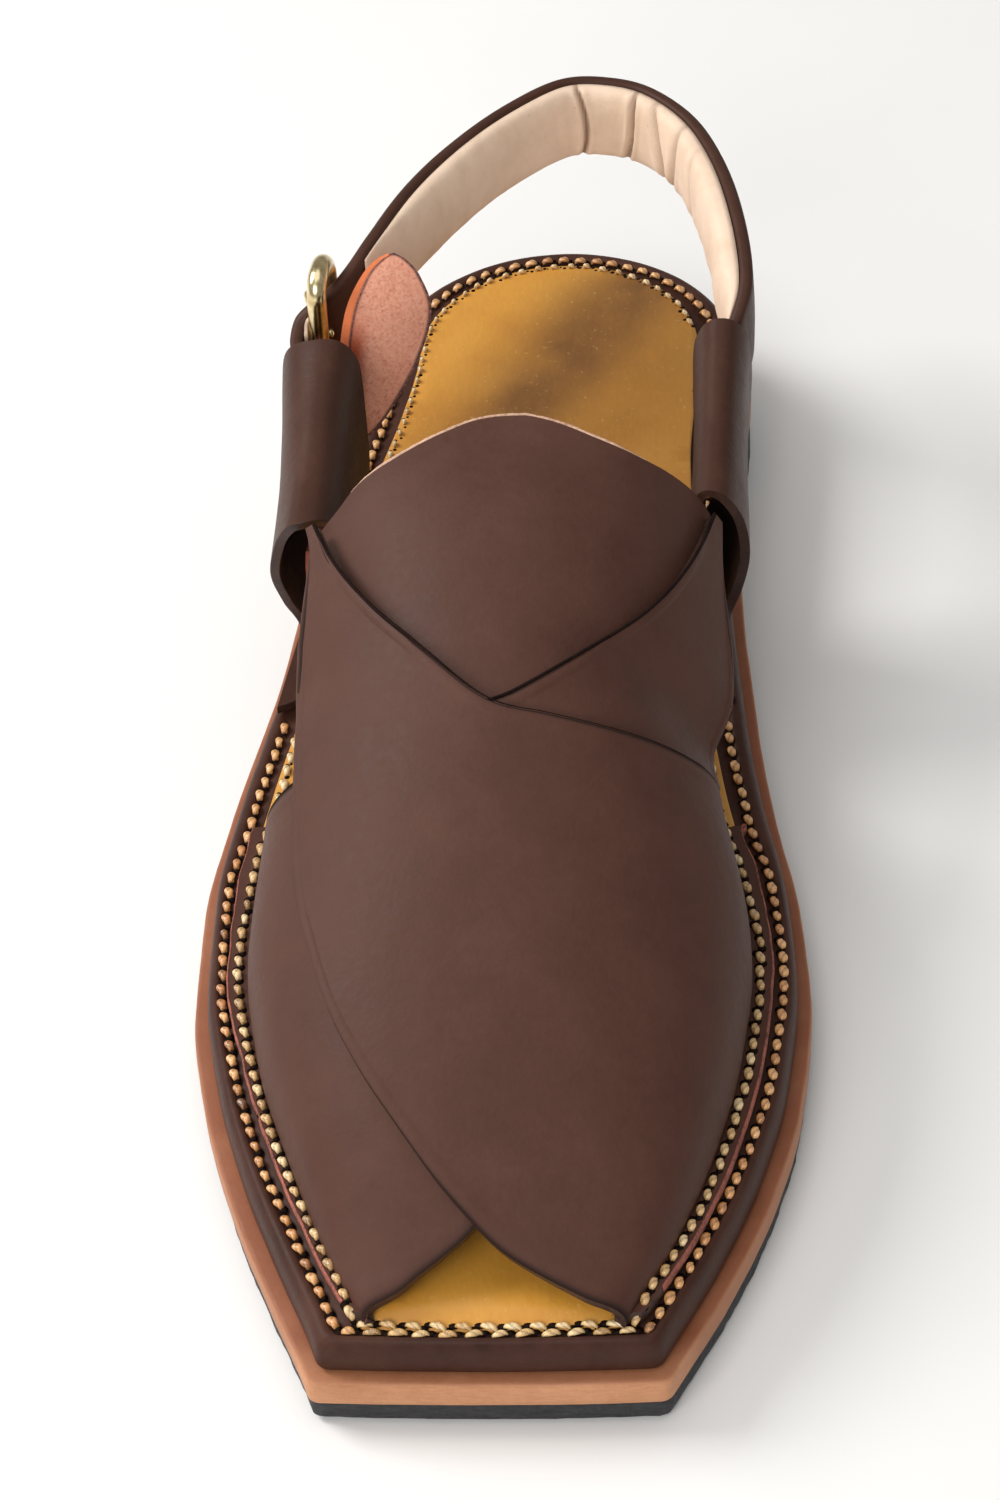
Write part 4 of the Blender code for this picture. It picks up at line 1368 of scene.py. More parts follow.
# -------- vamp
@dataclass(frozen=True)
class Last:
    """The foot form under the vamp: panels and tongue are laid on it by station and share across."""

    shape: SoleShape = field(default_factory=SoleShape)
    rows: Rows = (  # station Y, lateral foot X, medial foot X, ridge X, ridge height, roundness
        (-140.0, -16.3, 22.9, 1.6, 0.4, 2.0), (-133.0, -20.6, 26.1, 1.6, 4.5, 2.0),
        (-124.0, -24.9, 30.6, 1.6, 10.5, 2.0), (-105.0, -32.5, 37.3, 1.7, 21.0, 2.0),
        (-85.0, -39.0, 41.7, 1.9, 29.5, 2.0), (-62.0, -42.6, 43.8, 2.0, 37.5, 1.95),
        (-39.0, -41.8, 40.0, 2.0, 45.5, 1.95), (-28.0, -39.9, 36.4, 2.0, 49.2, 2.03),
        (-18.0, -40.9, 40.6, 2.0, 52.0, 2.15), (2.0, -42.0, 43.0, 2.0, 55.2, 2.45),
        (24.0, -43.7, 44.8, 2.0, 55.0, 2.8))

    def bare(self, y: Array, t: Array) -> Array:
        """Points on the form itself.

        Args:
            y: Stations.
            t: Share across, -1 at the lateral foot to 1 at the medial foot.

        Returns:
            Points, last axis x, y, z.
        """
        foot = np.where(t < 0, follow(self.rows, 1, y), follow(self.rows, 2, y))
        ridge = follow(self.rows, 3, y)
        power = 2.0 / follow(self.rows, 5, y)
        angle = np.minimum(np.abs(t), 1.0) * math.pi / 2
        x = ridge + (foot - ridge) * np.sin(angle)**power
        z = self.shape.seat + self.shape.lift(y) + follow(self.rows, 4, y) * np.maximum(np.cos(angle), 0.0)**power
        return np.stack([x, y, z], axis=-1)

    def normal(self, y: Array, t: Array) -> Array:
        """Direction away from the foot.

        Args:
            y: Stations.
            t: Share across.

        Returns:
            Unit vectors at the same places.
        """
        along = self.bare(y + 0.6, t) - self.bare(y - 0.6, t)
        sideways = self.bare(y, np.minimum(t + 0.02, 1.0)) - self.bare(y, np.maximum(t - 0.02, -1.0))
        out = unit(np.cross(sideways, along))
        return out * np.where(out[..., 2:3] < 0, -1.0, 1.0)

    def at(self, y: Array, t: Array, out: Union[float, Array] = 0.0) -> Array:
        """Points at a distance off the form.

        Args:
            y: Stations.
            t: Share across.
            out: Distance outward, one number or one for each point.

        Returns:
            Points, last axis x, y, z.
        """
        return self.bare(y, t) + self.normal(y, t) * np.asarray(out, float)[..., None]


def edge_line(rows: Rows, count: int) -> Array:
    """Evenly spaced last coordinates along a panel edge."""
    path = even_path(np.array([(y, t * FOOT_HALF) for y, t in rows]), count)
    return np.column_stack([path[:, 0], path[:, 1] / FOOT_HALF])


def tube(name: str, path: Array, radius: Array, spokes: int = 10) -> Mesh:
    """Sweep a small round bead along an open path.

    Args:
        name: Name of the mesh.
        path: Centre line.
        radius: Radius at each point.
        spokes: Points round the bead.

    Returns:
        The mesh.
    """
    run = unit(np.gradient(path, axis=0))
    side = unit(np.cross(run, UP))
    return rod_mesh(name, sweep(path, side, np.cross(side, run), radius, spokes))


@dataclass
class VampPanel:
    """One crossing panel: sewn down along one side, rising over the foot to the other side's loop."""

    side: Side
    front: Rows  # station Y, share across, from the foot up
    rear: Rows
    lap: float  # how far the panel lies off the form
    trim: float = 0.0  # share by which the foot's front corner draws in
    last: Last = field(default_factory=Last)
    sheet: float = 1.9
    slit: float = 0.35  # lift of the free edges
    raw_start: float = 0.0  # length of the foot before the raw line begins
    waist: float = 2.6  # how far the medial foot is drawn in at the waist
    bead: float = 0.32  # radius of the painted shadow line along the rear edge
    steps_up: int = 72
    steps_long: int = 76

    def patch(self, v: Array, lean: float) -> tuple[Array, Array]:
        """Spread last coordinates between the panel's four edges.

        Args:
            v: Shares of the way from the front edge to the rear edge.
            lean: -1 for the lateral panel, 1 for the medial one.

        Returns:
            Grid of station and share across from the foot up, and the foot's own line.
        """
        front, rear = edge_line(self.front, self.steps_up), edge_line(self.rear, self.steps_up)
        foot_y = front[0, 0] + (rear[0, 0] - front[0, 0]) * v
        foot_t = lean * (1 - self.trim * np.maximum(0.0, 1 - 5 * v))
        foot = np.column_stack([foot_y, foot_t])
        front[0] = foot[0]
        tip = front[-1] + (rear[-1] - front[-1]) * v[:, None]
        u = np.linspace(0, 1, self.steps_up + 1)[:, None, None]
        w = v[None, :, None]
        edge = front[:, None, :] * (1 - w) + rear[:, None, :] * w
        ends = foot[None, :, :] * (1 - u) + tip[None, :, :] * u
        low = foot[0] * (1 - w) + foot[-1] * w
        high = tip[0] * (1 - w) + tip[-1] * w
        return edge + ends - (low * (1 - u) + high * u), foot

    def build(self) -> list[Piece]:
        """Lay the panel, fold its foot onto the rim and give it its leather thickness.

        Returns:
            The panel, the raw line along its foot and the painted shadow line along its rear edge.
        """
        lean = float(self.side.value)
        v = np.linspace(0, 1, self.steps_long + 1)
        v = 0.25 * v + 0.75 * (0.5 - 0.5 * np.cos(math.pi * v))
        cells, foot = self.patch(v, lean)
        y, t = cells[..., 0], cells[..., 1]
        risen = 1 - t * lean
        free = np.clip(risen / 0.4, 0, 1)
        flat = np.stack([y, t * FOOT_HALF, 0 * y], axis=-1)
        wave = 0.45 * ripple(flat, 34.0, 2.3 + lean) * ease(risen, 0.05, 0.5)
        draw = self.sheet * (1 - ease(risen, 0.0, 0.35)) + self.tuck(y, t)
        halfway = 40
        span = np.maximum(lengths(self.last.bare(y[halfway], t[halfway]))[-1], 20.0)
        lip = np.exp(-((v * span - 1.2) / 0.6)**2) + np.exp(-(((1 - v) * span - 1.2) / 0.6)**2)
        lifted = (self.slit * (np.exp(-20 * v) + np.exp(20 * (v - 1))) + 0.16 * lip)[None, :]
        lifted = lifted * ease(risen, 0.1, 0.4) * ease(np.linspace(1, 0, len(y)), 0.03, 0.14)[:, None]
        body = self.last.at(y, t, self.lap * free + wave + lifted)
        body[..., 0] -= lean * draw
        body = self.pinch(body, y, t, lean)
        fold = self.flange(foot, lean)
        grid = np.concatenate([fold, body], axis=0)
        name = f"vamp_panel_{self.side.name.lower()}"
        mesh = sheet_mesh(name, grid)
        face_away(mesh, (0, -40, 20))
        # Painted shade: a narrow dark band along the front and rear edges, for the shadow at the crossing lines.
        painted_shade_band = np.exp(-(v * span / 0.5)**2) + np.exp(-((1 - v) * span / 0.5)**2)
        across = np.concatenate([np.zeros(len(fold)), ease(1 - np.linspace(0, 1, len(body)), 1.0, 0.96)])
        mark(mesh, "painted_shade_band", 0.9 * across[:, None] * painted_shade_band[None, :])
        piece = Piece(name, mesh, "brown_leather", (BROWN, SHADED_FLESH, BURNISHED), "upper")
        shell(piece.body, self.sheet, Ply.OUTWARD, 0.35)
        high = self.last.normal(y[:, -1], t[:, -1])
        return [piece, self.raw_line(grid[0], lean), self.painted_shadow_line(name + "_edge", body, high)]

    def painted_shadow_line(self, name: str, body: Array, high: Array) -> Piece:
        """Thin near-black bead just beyond the rear edge, a painted shadow for the gap behind it; finer low down.

        Args:
            name: Name of the piece.
            body: Points of the panel.
            high: Directions off the foot along the rear edge.

        Returns:
            The finished piece.
        """
        away = unit(body[:, -1] - body[:, -3])
        bead = body[:, -1] + high * (self.sheet - 0.30) + away * 0.30
        bead = respace(bead[4:], 260)
        thin = 0.08 if self.side is Side.MEDIAL else 0.30
        radius = thin + (self.bead - thin) * ease(np.linspace(0, 1, len(bead)), 0.45, 0.75)
        return Piece(name, tube(name, bead, radius), "brown_leather", (SHADE_BLACK,))

    def tuck(self, y: Array, t: Array) -> Array:
        """How far the foot is drawn in where the upper narrows at the waist."""
        drawn = np.where(t > 0, self.waist, 0.2)
        return drawn * ease(y, -72.0, -40.0) * (1 - ease(1 - np.abs(t), 0.0, 0.45))

    def raw_line(self, edge: Array, lean: float) -> Piece:
        """Undyed edge of the foot fold, a rough red line beside the outer stitches.

        Args:
            edge: Outer line of the fold's underside.
            lean: -1 for the lateral panel, 1 for the medial one.

        Returns:
            The finished piece.
        """
        path = respace(edge[lengths(edge) >= self.raw_start], 520)
        run = unit(np.gradient(path, axis=0) * (1, 1, 0))
        out = right_of(run) * lean
        section = ((-0.25, 0.2), (0.02, 0.25), (0.10, 0.9), (0.06, 1.5), (-0.06, 1.90), (-0.26, 1.95), (-0.3, 1.2))
        rows = []
        for k, (across, high) in enumerate(section):
            torn = 0.06 * ripple(path + k, 0.9, 2.0 + k) + 0.08 * ripple(path, 3.1, 5.0)
            rows.append(path + out * (across + torn)[:, None] + UP * (high + 0.5 * torn)[:, None])
        name = f"raw_line_{self.side.name.lower()}"
        return Piece(name, rod_mesh(name, np.stack(rows, axis=1)), "brown_leather", (RAW_RED,))

    def pinch(self, body: Array, y: Array, t: Array, lean: float) -> Array:
        """Draw the leather in softly where the stitches pull it at its foot.

        Args:
            body: Points of the panel.
            y: Stations of the points.
            t: Share across of the points.
            lean: -1 for the lateral panel, 1 for the medial one.

        Returns:
            The drawn points.
        """
        gone = lengths(body[0])
        pull = 0.2 * np.cos(2 * math.pi * gone / 3.2)[None, :] * ease(t * lean, 0.90, 1.0)
        return body + self.last.normal(y, t) * pull[..., None]

    def flange(self, foot: Array, lean: float) -> Array:
        """Rows of the foot fold from the raw edge to the rise.

        Args:
            foot: Last coordinates along the foot.
            lean: -1 for the lateral panel, 1 for the medial one.

        Returns:
            Grid of points, raw edge first.
        """
        y, t = foot[:, 0], foot[:, 1]
        inward = np.stack([lean * (self.sheet + self.tuck(y, t)), 0.0 * y, 0.0 * y], axis=1)
        here = self.last.bare(y, t) - inward
        ahead, behind = np.minimum(y + 1, -20), np.maximum(y - 1, -140)
        run = unit((self.last.bare(ahead, t) - self.last.bare(behind, t)) * (1, 1, 0))
        out = right_of(run) * lean
        rows = []
        line = self.last.shape.beside(y, self.side, Seam.RAW)
        reach = np.abs(line - here[:, 0]) * np.abs(out[:, 0])
        for share, dip in ((1.0, 0.05), (0.86, 0.0), (0.66, -0.12), (0.42, -0.22), (0.22, -0.12), (0.08, 0.05)):
            fray = 0.16 * ripple(here, 4.0, 9.0) * float(share == 1.0)
            row = here + out * (reach * share + fray)[..., None]
            row[:, 1] += 2.4 * share * np.exp(-(foot[:, 0] - foot[0, 0]) / 2.5)
            row[:, 2] = self.last.shape.seat + self.last.shape.lift(row[:, 1]) + dip
            rows.append(row)
        return np.stack(rows)


@dataclass
class Tongue:
    """Leather tongue under the crossing, its top edge raw and pale."""

    last: Last = field(default_factory=Last)
    drop: float = 2.5
    sheet: float = 1.9
    top: Rows = (  # station Y, across
        (5.5, -0.53), (6.5, -0.44), (9.3, -0.35), (12.0, -0.22), (15.5, -0.11), (18.3, -0.04), (19.3, 0.01),
        (18.3, 0.05), (14.8, 0.17), (13.2, 0.3), (13.2, 0.42), (13.5, 0.53), (13.0, 0.6))
    low: Rows = (
        (1.0, -0.53), (-13.0, -0.46), (-30.0, -0.32), (-46.0, -0.15), (-54.0, 0.0), (-46.0, 0.15),
        (-30.0, 0.32), (-13.0, 0.46), (0.0, 0.56), (7.0, 0.6))

    def build(self) -> list[Piece]:
        """Lay the tongue under the panels and give its top edge a raw, pale line.

        Returns:
            The tongue and its raw edge.
        """
        top, low = edge_line(self.top, 90), edge_line(self.low, 90)
        share = np.linspace(0, 1, 40)[:, None, None]
        cells = top[None] * (1 - share) + low[None] * share
        y, t = cells[..., 0], cells[..., 1]
        wave = 0.35 * ripple(np.stack([y, t * FOOT_HALF, 0 * y], axis=-1), 30.0, 6.6)
        grid = self.last.at(y, t, -self.drop + wave)
        mesh = sheet_mesh("tongue_leather", grid)
        face_away(mesh, (0, 0, 20))
        piece = Piece("tongue_leather", mesh, "brown_leather", (BROWN, SHADED_FLESH, RAW_PALE), "tongue")
        shell(piece.body, self.sheet, Ply.OUTWARD, 0.3)
        return [piece, self.raw_edge(y[0], t[0], wave[0])]

    def raw_edge(self, y: Array, t: Array, wave: Array) -> Piece:
        """Pale fibres standing along the cut top edge.

        Args:
            y: Stations of the edge.
            t: Shares across of the edge.
            wave: Swell of the leather along the edge.

        Returns:
            The finished piece.
        """
        middle = np.abs(t + 0.02) < 0.36
        path = respace(self.last.at(y, t, self.sheet - self.drop + wave)[middle], 300)
        path = path + np.array([0.0, 0.35, -0.30])
        share = np.linspace(-1, 1, len(path))
        radius = (0.10 + 0.34 * ease(np.abs(share), 1.0, 0.7)) * (1 + 0.25 * ripple(path, 1.1, 4.0))
        mesh = tube("tongue_raw_edge", path, radius)
        return Piece("tongue_raw_edge", mesh, "brown_leather", (RAW_PALE,))


MEDIAL_PANEL = VampPanel(
    Side.MEDIAL,
    front=((-138.6, 0.985), (-137.4, 0.60), (-135.4, 0.39), (-132.0, 0.17), (-128.0, 0.01), (-120.0, -0.17),
           (-108.0, -0.32), (-98.0, -0.40), (-87.0, -0.45), (-64.0, -0.51), (-39.0, -0.54), (-28.0, -0.565),
           (-20.0, -0.54), (-4.0, -0.48), (3.0, -0.49)),
    rear=((-26.5, 1.0), (-35.0, 0.80), (-39.5, 0.66), (-42.5, 0.50), (-44.5, 0.30), (-44.5, 0.13), (-42.5, -0.02),
          (-33.5, -0.16), (-21.5, -0.30), (-7.5, -0.41), (2.5, -0.465)),
    lap=2.05, raw_start=7.0)
LATERAL_PANEL = VampPanel(
    Side.LATERAL,
    front=((-138.0, -0.90), (-135.3, -0.48), (-132.5, -0.30), (-130.0, -0.17), (-126.5, -0.04), (-119.0, 0.12),
           (-108.0, 0.28), (-95.0, 0.42), (-75.0, 0.54), (-55.0, 0.61), (-34.5, 0.74), (-27.0, 0.77),
           (-14.5, 0.735), (-1.0, 0.65), (11.0, 0.61)),
    rear=((-26.0, -1.0), (-38.0, -0.80), (-43.0, -0.55), (-45.0, -0.28), (-42.0, -0.03), (-38.5, 0.09), (-29.5, 0.27),
          (-21.5, 0.37), (-10.0, 0.47), (1.0, 0.54), (11.0, 0.58)),
    lap=0.0, trim=0.04, raw_start=2.2)


# -------- side loops
@dataclass
class SideLoop:
    """Leather folded into a flat tube: foot flap on the rim, outer wall, rounded top, free inner wall."""

    side: Side
    ribs: Rows  # front Y X Z, rear Y X Z; a height of 0 lies on the rim
    node: str
    shape: SoleShape = field(default_factory=SoleShape)
    sheet: float = 1.8
    foot_rows: int = 8  # first rows of the fold, which lie on the rim
    ribs_round: int = 120
    steps_long: int = 30

    def build(self) -> Piece:
        """Rule the fold between its front and rear lines and thicken it inward.

        Returns:
            The finished piece.
        """
        table = np.array(self.ribs, float)
        front = table[:, [1, 0, 2]].copy()
        rear = table[:, [4, 3, 5]].copy()
        for line in (front, rear):
            flat = line[:, 2] == 0
            line[flat, 2] = self.shape.seat + self.sheet + self.shape.lift(line[flat, 1])
        a, b = even_path(front, self.ribs_round), even_path(rear, self.ribs_round)
        share = np.linspace(0, 1, self.steps_long + 1)[None, :, None]
        grid = a[:, None, :] * (1 - share) + b[:, None, :] * share
        floor = self.shape.seat + self.sheet + self.shape.lift(grid[..., 1])
        grid[..., 2] = np.maximum(grid[..., 2], floor)
        high = ease(grid[..., 2], 28, 40)
        waist = 0.7 * np.sin(math.pi * share[..., 0]) * high
        middle = grid[self.foot_rows:].reshape(-1, 3).mean(axis=0)
        inward = unit((middle - grid) * (1, 0, 0.4))
        wave = 0.3 * ripple(grid, 15.0, 4.4) * high
        grid = grid + inward * (waist + wave)[..., None]
        name = f"side_loop_{self.side.name.lower()}"
        mesh = sheet_mesh(name, grid)
        face_away(mesh, middle)
        # Painted shade: the inner wall of the fold, past its rounded top, is darkened as if out of the light, and
        # made rougher.
        shade = 0.6 * ease(np.linspace(0, 1, grid.shape[0]), 0.56, 0.68)
        mark(mesh, "painted_shade_band", np.repeat(shade[:, None], grid.shape[1], axis=1))
        piece = Piece(name, mesh, "brown_leather", (LOOP_BROWN, SHADED_FLESH, BURNISHED), self.node)
        shell(piece.body, self.sheet, Ply.INWARD)
        return piece


LATERAL_LOOP = SideLoop(
    Side.LATERAL,
    ((3.0, -43.3, 0.0, 43.5, -37.2, 0.0), (6.5, -38.9, 0.0, 44.5, -33.2, 0.0),
     (17.5, -39.3, 28.0, 47.0, -36.6, 32.0), (16.0, -41.8, 36.5, 50.0, -40.6, 43.0),
     (13.2, -42.9, 45.5, 53.0, -42.6, 54.0), (10.5, -41.2, 54.8, 54.8, -42.5, 62.0),
     (8.4, -38.4, 60.4, 53.6, -40.6, 66.8), (8.0, -35.4, 61.8, 52.0, -36.4, 69.4),
     (9.3, -31.8, 61.2, 51.6, -31.8, 69.6), (11.0, -29.0, 57.5, 52.0, -28.8, 66.3),
     (13.0, -27.9, 50.5, 52.5, -27.8, 60.0), (15.5, -28.0, 37.0, 51.6, -28.0, 40.0),
     (17.5, -30.9, 28.0, 49.5, -31.0, 30.0), (18.5, -34.4, 24.0, 48.0, -33.6, 26.0)),
    "lateral_loop")
MEDIAL_LOOP = SideLoop(
    Side.MEDIAL,
    ((4.0, 41.0, 0.0, 43.5, 37.3, 0.0), (7.5, 37.0, 0.0, 44.5, 33.2, 0.0),
     (18.0, 40.1, 29.0, 48.0, 38.0, 32.0), (17.2, 42.4, 36.5, 52.0, 42.6, 43.0),
     (16.0, 44.1, 46.0, 55.0, 44.7, 54.0), (14.8, 43.4, 54.5, 57.0, 44.5, 62.0),
     (14.0, 41.0, 60.2, 56.2, 43.4, 66.4), (14.4, 38.4, 62.0, 55.4, 40.8, 69.5),
     (15.2, 35.8, 61.4, 55.6, 37.4, 69.3), (16.0, 34.0, 58.2, 56.4, 35.0, 66.0),
     (17.2, 33.0, 51.0, 56.6, 33.8, 60.0), (19.0, 32.8, 37.0, 55.6, 33.7, 40.0),
     (19.5, 33.0, 28.0, 52.0, 33.4, 30.0), (19.5, 33.8, 24.0, 49.0, 33.4, 26.0)),
    "medial_loop")


# -------- heel strap
@dataclass(frozen=True)
class StrapRun:
    """The path of the heel strap: top edge of its outer face and its height."""

    knots: Rows = (  # Y, X, top Z, height of the strap
        (38.0, 39.6, 58.6, 14.0), (46.0, 40.2, 60.2, 14.4), (53.0, 40.6, 62.2, 15.2), (57.6, 41.6, 64.2, 16.0),
        (61.8, 43.4, 66.4, 16.5), (69.5, 44.9, 69.4, 16.5), (84.0, 43.4, 72.2, 16.5), (101.0, 39.8, 73.4, 16.5),
        (115.2, 34.2, 74.0, 16.5), (125.8, 26.0, 74.0, 16.5), (130.2, 17.4, 74.0, 16.5), (130.2, 7.7, 74.0, 16.5),
        (122.4, -2.2, 74.0, 16.5), (110.6, -12.0, 74.0, 16.5), (95.4, -20.8, 74.0, 16.5), (79.0, -27.2, 74.0, 16.5),
        (71.4, -30.8, 72.4, 16.0), (67.2, -33.8, 70.8, 15.4), (65.0, -37.0, 69.2, 15.0), (62.6, -40.2, 67.2, 15.0),
        (59.6, -41.2, 65.0, 14.4), (57.2, -41.0, 63.6, 13.0))

    def frames(self, count: int) -> tuple[Array, Array, Array]:
        """Spread frames along the strap.

        Args:
            count: Number of steps.

        Returns:
            Top outer points, directions toward the foot, and strap heights.
        """
        table = np.array(self.knots, float)
        path = even_path(table[:, [1, 0, 2, 3]], count)
        inward = -right_of(unit(np.gradient(path[:, :2], axis=0)))
        return path[:, :3], inward, path[:, 3]


@dataclass
class HeelStrap:
    """Brown strap round the heel with a beige padded lining turned inside it."""

    run: StrapRun = field(default_factory=StrapRun)
    sheet: float = 2.0
    steps: int = 300
    pad_start: float = 0.11  # shares of the strap at which the padding and the end's lining start and stop
    pad_end: float = 0.888
    end_start: float = 0.955
    end_stop: float = 0.985
    lining_gap: float = 0.25
    swell: Rows = (  # share of the strap, thickness of the padding
        (0.0, 1.4), (0.11, 1.4), (0.15, 3.6), (0.2, 4.8), (0.3, 4.8), (0.45, 3.4), (0.6, 3.6),
        (0.74, 4.0), (0.82, 2.6), (0.88, 1.0), (1.0, 1.0))
    pleats: Rows = (  # share of the strap, depth, half width in share, slant toward the bottom edge
        (0.476, 1.6, 0.0034, 0.014), (0.539, 1.6, 0.0036, -0.004), (0.428, 0.9, 0.0055, -0.022),
        (0.395, 0.8, 0.0050, 0.016), (0.34, 0.35, 0.006, -0.012))

    def leather(self) -> Piece:
        """Outer leather with rolled edges and a slight outward bow.

        Returns:
            The finished piece.
        """
        path, inward, height = self.run.frames(self.steps)
        profile = []
        for across, down in self.section():
            bow = -0.35 * math.sin(math.pi * down)
            profile.append(path + inward * (across + bow) - UP * (down * height)[:, None])
        grid = np.stack(profile, axis=1)
        shake = 0.14 * ripple(grid.mean(axis=1), 16.0, 1.7)
        grid = grid + inward[:, None, :] * shake[:, None, None]
        mesh = rod_mesh("heel_strap_leather", grid)
        mesh.set_sharp_from_angle(angle=math.radians(60))
        return Piece("heel_strap_leather", mesh, "brown_leather", (LOOP_BROWN,), "heel_strap")

    def section(self) -> list[tuple[float, float]]:
        """Section of the leather, rounded at both edges.

        Returns:
            Pairs of distance inward and share of the height down.
        """
        bulge, half, tall, steps = 0.25, self.sheet / 2, 16.0, 8
        turns = [math.pi * k / steps for k in range(steps + 1)]
        edge = [((half + bulge) * math.cos(a), (0.55 - 0.9 * math.sin(a)) / tall) for a in turns]
        start, run = 0.034, 1 - 0.068
        points = [(half - across, down) for across, down in edge]
        for k, a in enumerate(turns[1:-1], 1):
            points.append((self.sheet + bulge - 0.25 * math.sin(a), start + run * k / steps))
        points += [(half + across, 1 - down) for across, down in edge]
        for k, a in enumerate(turns[1:-1], 1):
            points.append((-bulge + 0.1 * math.sin(a), 1 - start - run * k / steps))
        return points

    def pleated(self, share: Array, down: Array) -> tuple[Array, Array]:
        """Fold the padding where the strap bends.

        Args:
            share: Shares of the strap along it.
            down: Shares of its height from the top.

        Returns:
            Depth of the folds at each share and height, and how dark they are.
        """
        pull = np.zeros((len(share), len(down)))
        crease_dark = np.zeros_like(pull)
        for place, fold, half, slant in self.pleats:
            middle = place + slant * (down - 0.5) - 0.010 * (1 - (2 * down - 1)**2)
            near = np.abs(share[:, None] - middle[None, :]) / half
            crease = np.exp(-near**1.5)
            lip = np.exp(-((near - 2.1) / 0.9)**2)
            pull += fold * (crease - 0.30 * lip)
            # darker along each crease, more for deeper folds
            crease_dark += (fold / 1.5) * np.exp(-(near * 1.25)**2)
        return pull, crease_dark

    def padding(self) -> Piece:
        """Foam under thin lining: crowned between its edges, pleated and wrinkled where the strap bends.

        Returns:
            The finished piece.
        """
        first, last = int(self.pad_start * self.steps), int(self.pad_end * self.steps)
        path, inward, height = self.run.frames(self.steps)
        share = np.arange(self.steps + 1) / self.steps
        path, inward, height, share = (a[first:last + 1] for a in (path, inward, height, share))
        thick = follow(self.swell, 1, share)
        around = 30
        phi = np.linspace(0, math.pi, around + 1)
        depth = np.sin(phi)**0.62
        down = 0.5 - 0.5 * np.sign(np.cos(phi)) * np.abs(np.cos(phi))**0.85
        pull, crease_dark = self.pleated(share, down)
        base = path + inward * (self.sheet + self.lining_gap)
        soft = 0.34 * ripple(base + inward * 3, 7.5, 8.8)[:, None] * depth[None, :]
        lower = UP * (9 * down * 0.4)[:, None]
        fine = 0.13 * ripple(base[:, None, :] + lower, 2.7, 12.0)
        full = ease(thick, 1.2, 3.0)[:, None]
        out = thick[:, None] * depth[None, :] * 0.98 + (soft + fine) * full * depth[None, :]
        out = np.maximum(out - pull * depth[None, :] * full, 0.12)
        margin, behind = 0.35, np.linspace(1, 0, 5)[1:-1]
        tall = height[:, None] - 2 * margin
        top = (base[:, None, :] + inward[:, None, :] * out[..., None]
               - UP * (margin + down[None, :] * tall)[..., None])
        back = (base[:, None, :] + inward[:, None, :] * 0.05
                - UP * (margin + behind[None, :] * tall)[..., None])
        grid = np.concatenate([top, back], axis=1)
        mesh = rod_mesh("heel_padding", grid)
        mark(mesh, "pleat", np.concatenate([np.clip(crease_dark, 0, 0.85), np.zeros((len(grid), len(behind)))], axis=1))
        piece = Piece("heel_padding", mesh, "padding_lining", (LINING,), "heel_strap_padding")
        return piece

    def end_lining(self) -> Piece:
        """Thin lining left on the free end of the strap, crumpled where the buckle pinches it.

        Returns:
            The finished piece.
        """
        first, last = int(self.end_start * self.steps), int(self.end_stop * self.steps)
        path, inward, height = (a[first:last + 1] for a in self.run.frames(self.steps))
        down = np.linspace(0.02, 0.98, 22)
        grid = (path[:, None, :] + inward[:, None, :] * (self.sheet + self.lining_gap)
                - UP * (down[None, :] * height[:, None])[..., None])
        crumple = 0.8 + 0.45 * ripple(grid, 3.4, 2.6) + 0.2 * ripple(grid, 1.6, 6.1)
        grid = grid + inward[:, None, :] * np.maximum(crumple, 0.15)[..., None]
        mesh = sheet_mesh("strap_end_lining", grid)
        face_away(mesh, (-60, 60, 60))
        mark(mesh, "pleat", 0.5 * ease(ripple(grid, 3.4, 2.6), 0.1, -0.7))
        piece = Piece("strap_end_lining", mesh, "padding_lining", (LINING, LINING, LINING))
        shell(piece.body, 0.7, Ply.INWARD, 0.2)
        return piece


# -------- buckle
@dataclass
class BuckleTab:
    """Doubled leather tab that holds the buckle: round the hinge bar and forward inside the loop."""

    sheet: float = 1.5
    path: Rows = (  # Y, X of the middle line, from the raw end inside the loop's mouth
        (13.5, -36.6), (20.0, -36.2), (30.0, -36.0), (42.0, -36.4), (52.0, -37.6), (57.5, -38.6), (60.8, -38.9),
        (63.0, -37.8), (63.7, -36.1), (63.0, -34.4), (60.8, -33.3), (57.5, -33.6), (52.0, -34.4), (42.0, -34.6),
        (30.0, -34.2), (21.0, -33.8))
    top: Rows = ((13.5, 48.0), (20.0, 48.5), (30.0, 52.0), (45.0, 58.0), (56.0, 61.0), (64.0, 61.5))
    tall: float = 11.0

    def build(self) -> Piece:
        """Sweep the tab and fray its raw end.

        Returns:
            The finished piece.
        """
        line = even_path(np.array(self.path, float)[:, [1, 0]], 150)
        down = np.linspace(0, 1, 19)
        high = follow(self.top, 1, line[:, 1])
        rows = np.repeat(line[:, None, :], len(down), axis=1)
        z = high[:, None] - down[None, :] * self.tall
        grid = np.concatenate([rows, z[..., None]], axis=2)
        corner = np.clip(1 - np.arange(len(line)) / 6.0, 0, 1)[:, None] * np.abs(2 * down - 1)[None, :]**3
        grid[..., 1] += 3.0 * corner + 0.3 * ripple(grid, 2.1, 4.4) * (np.arange(len(line)) < 2)[:, None]
        mesh = sheet_mesh("buckle_tab", grid)
        face_away(mesh, (-36, 60, 63))
        piece = Piece("buckle_tab", mesh, "brown_leather", (LOOP_BROWN, LOOP_BROWN, TAB_RED))
        shell(piece.body, self.sheet, Ply.INWARD, 0.3)
        return piece


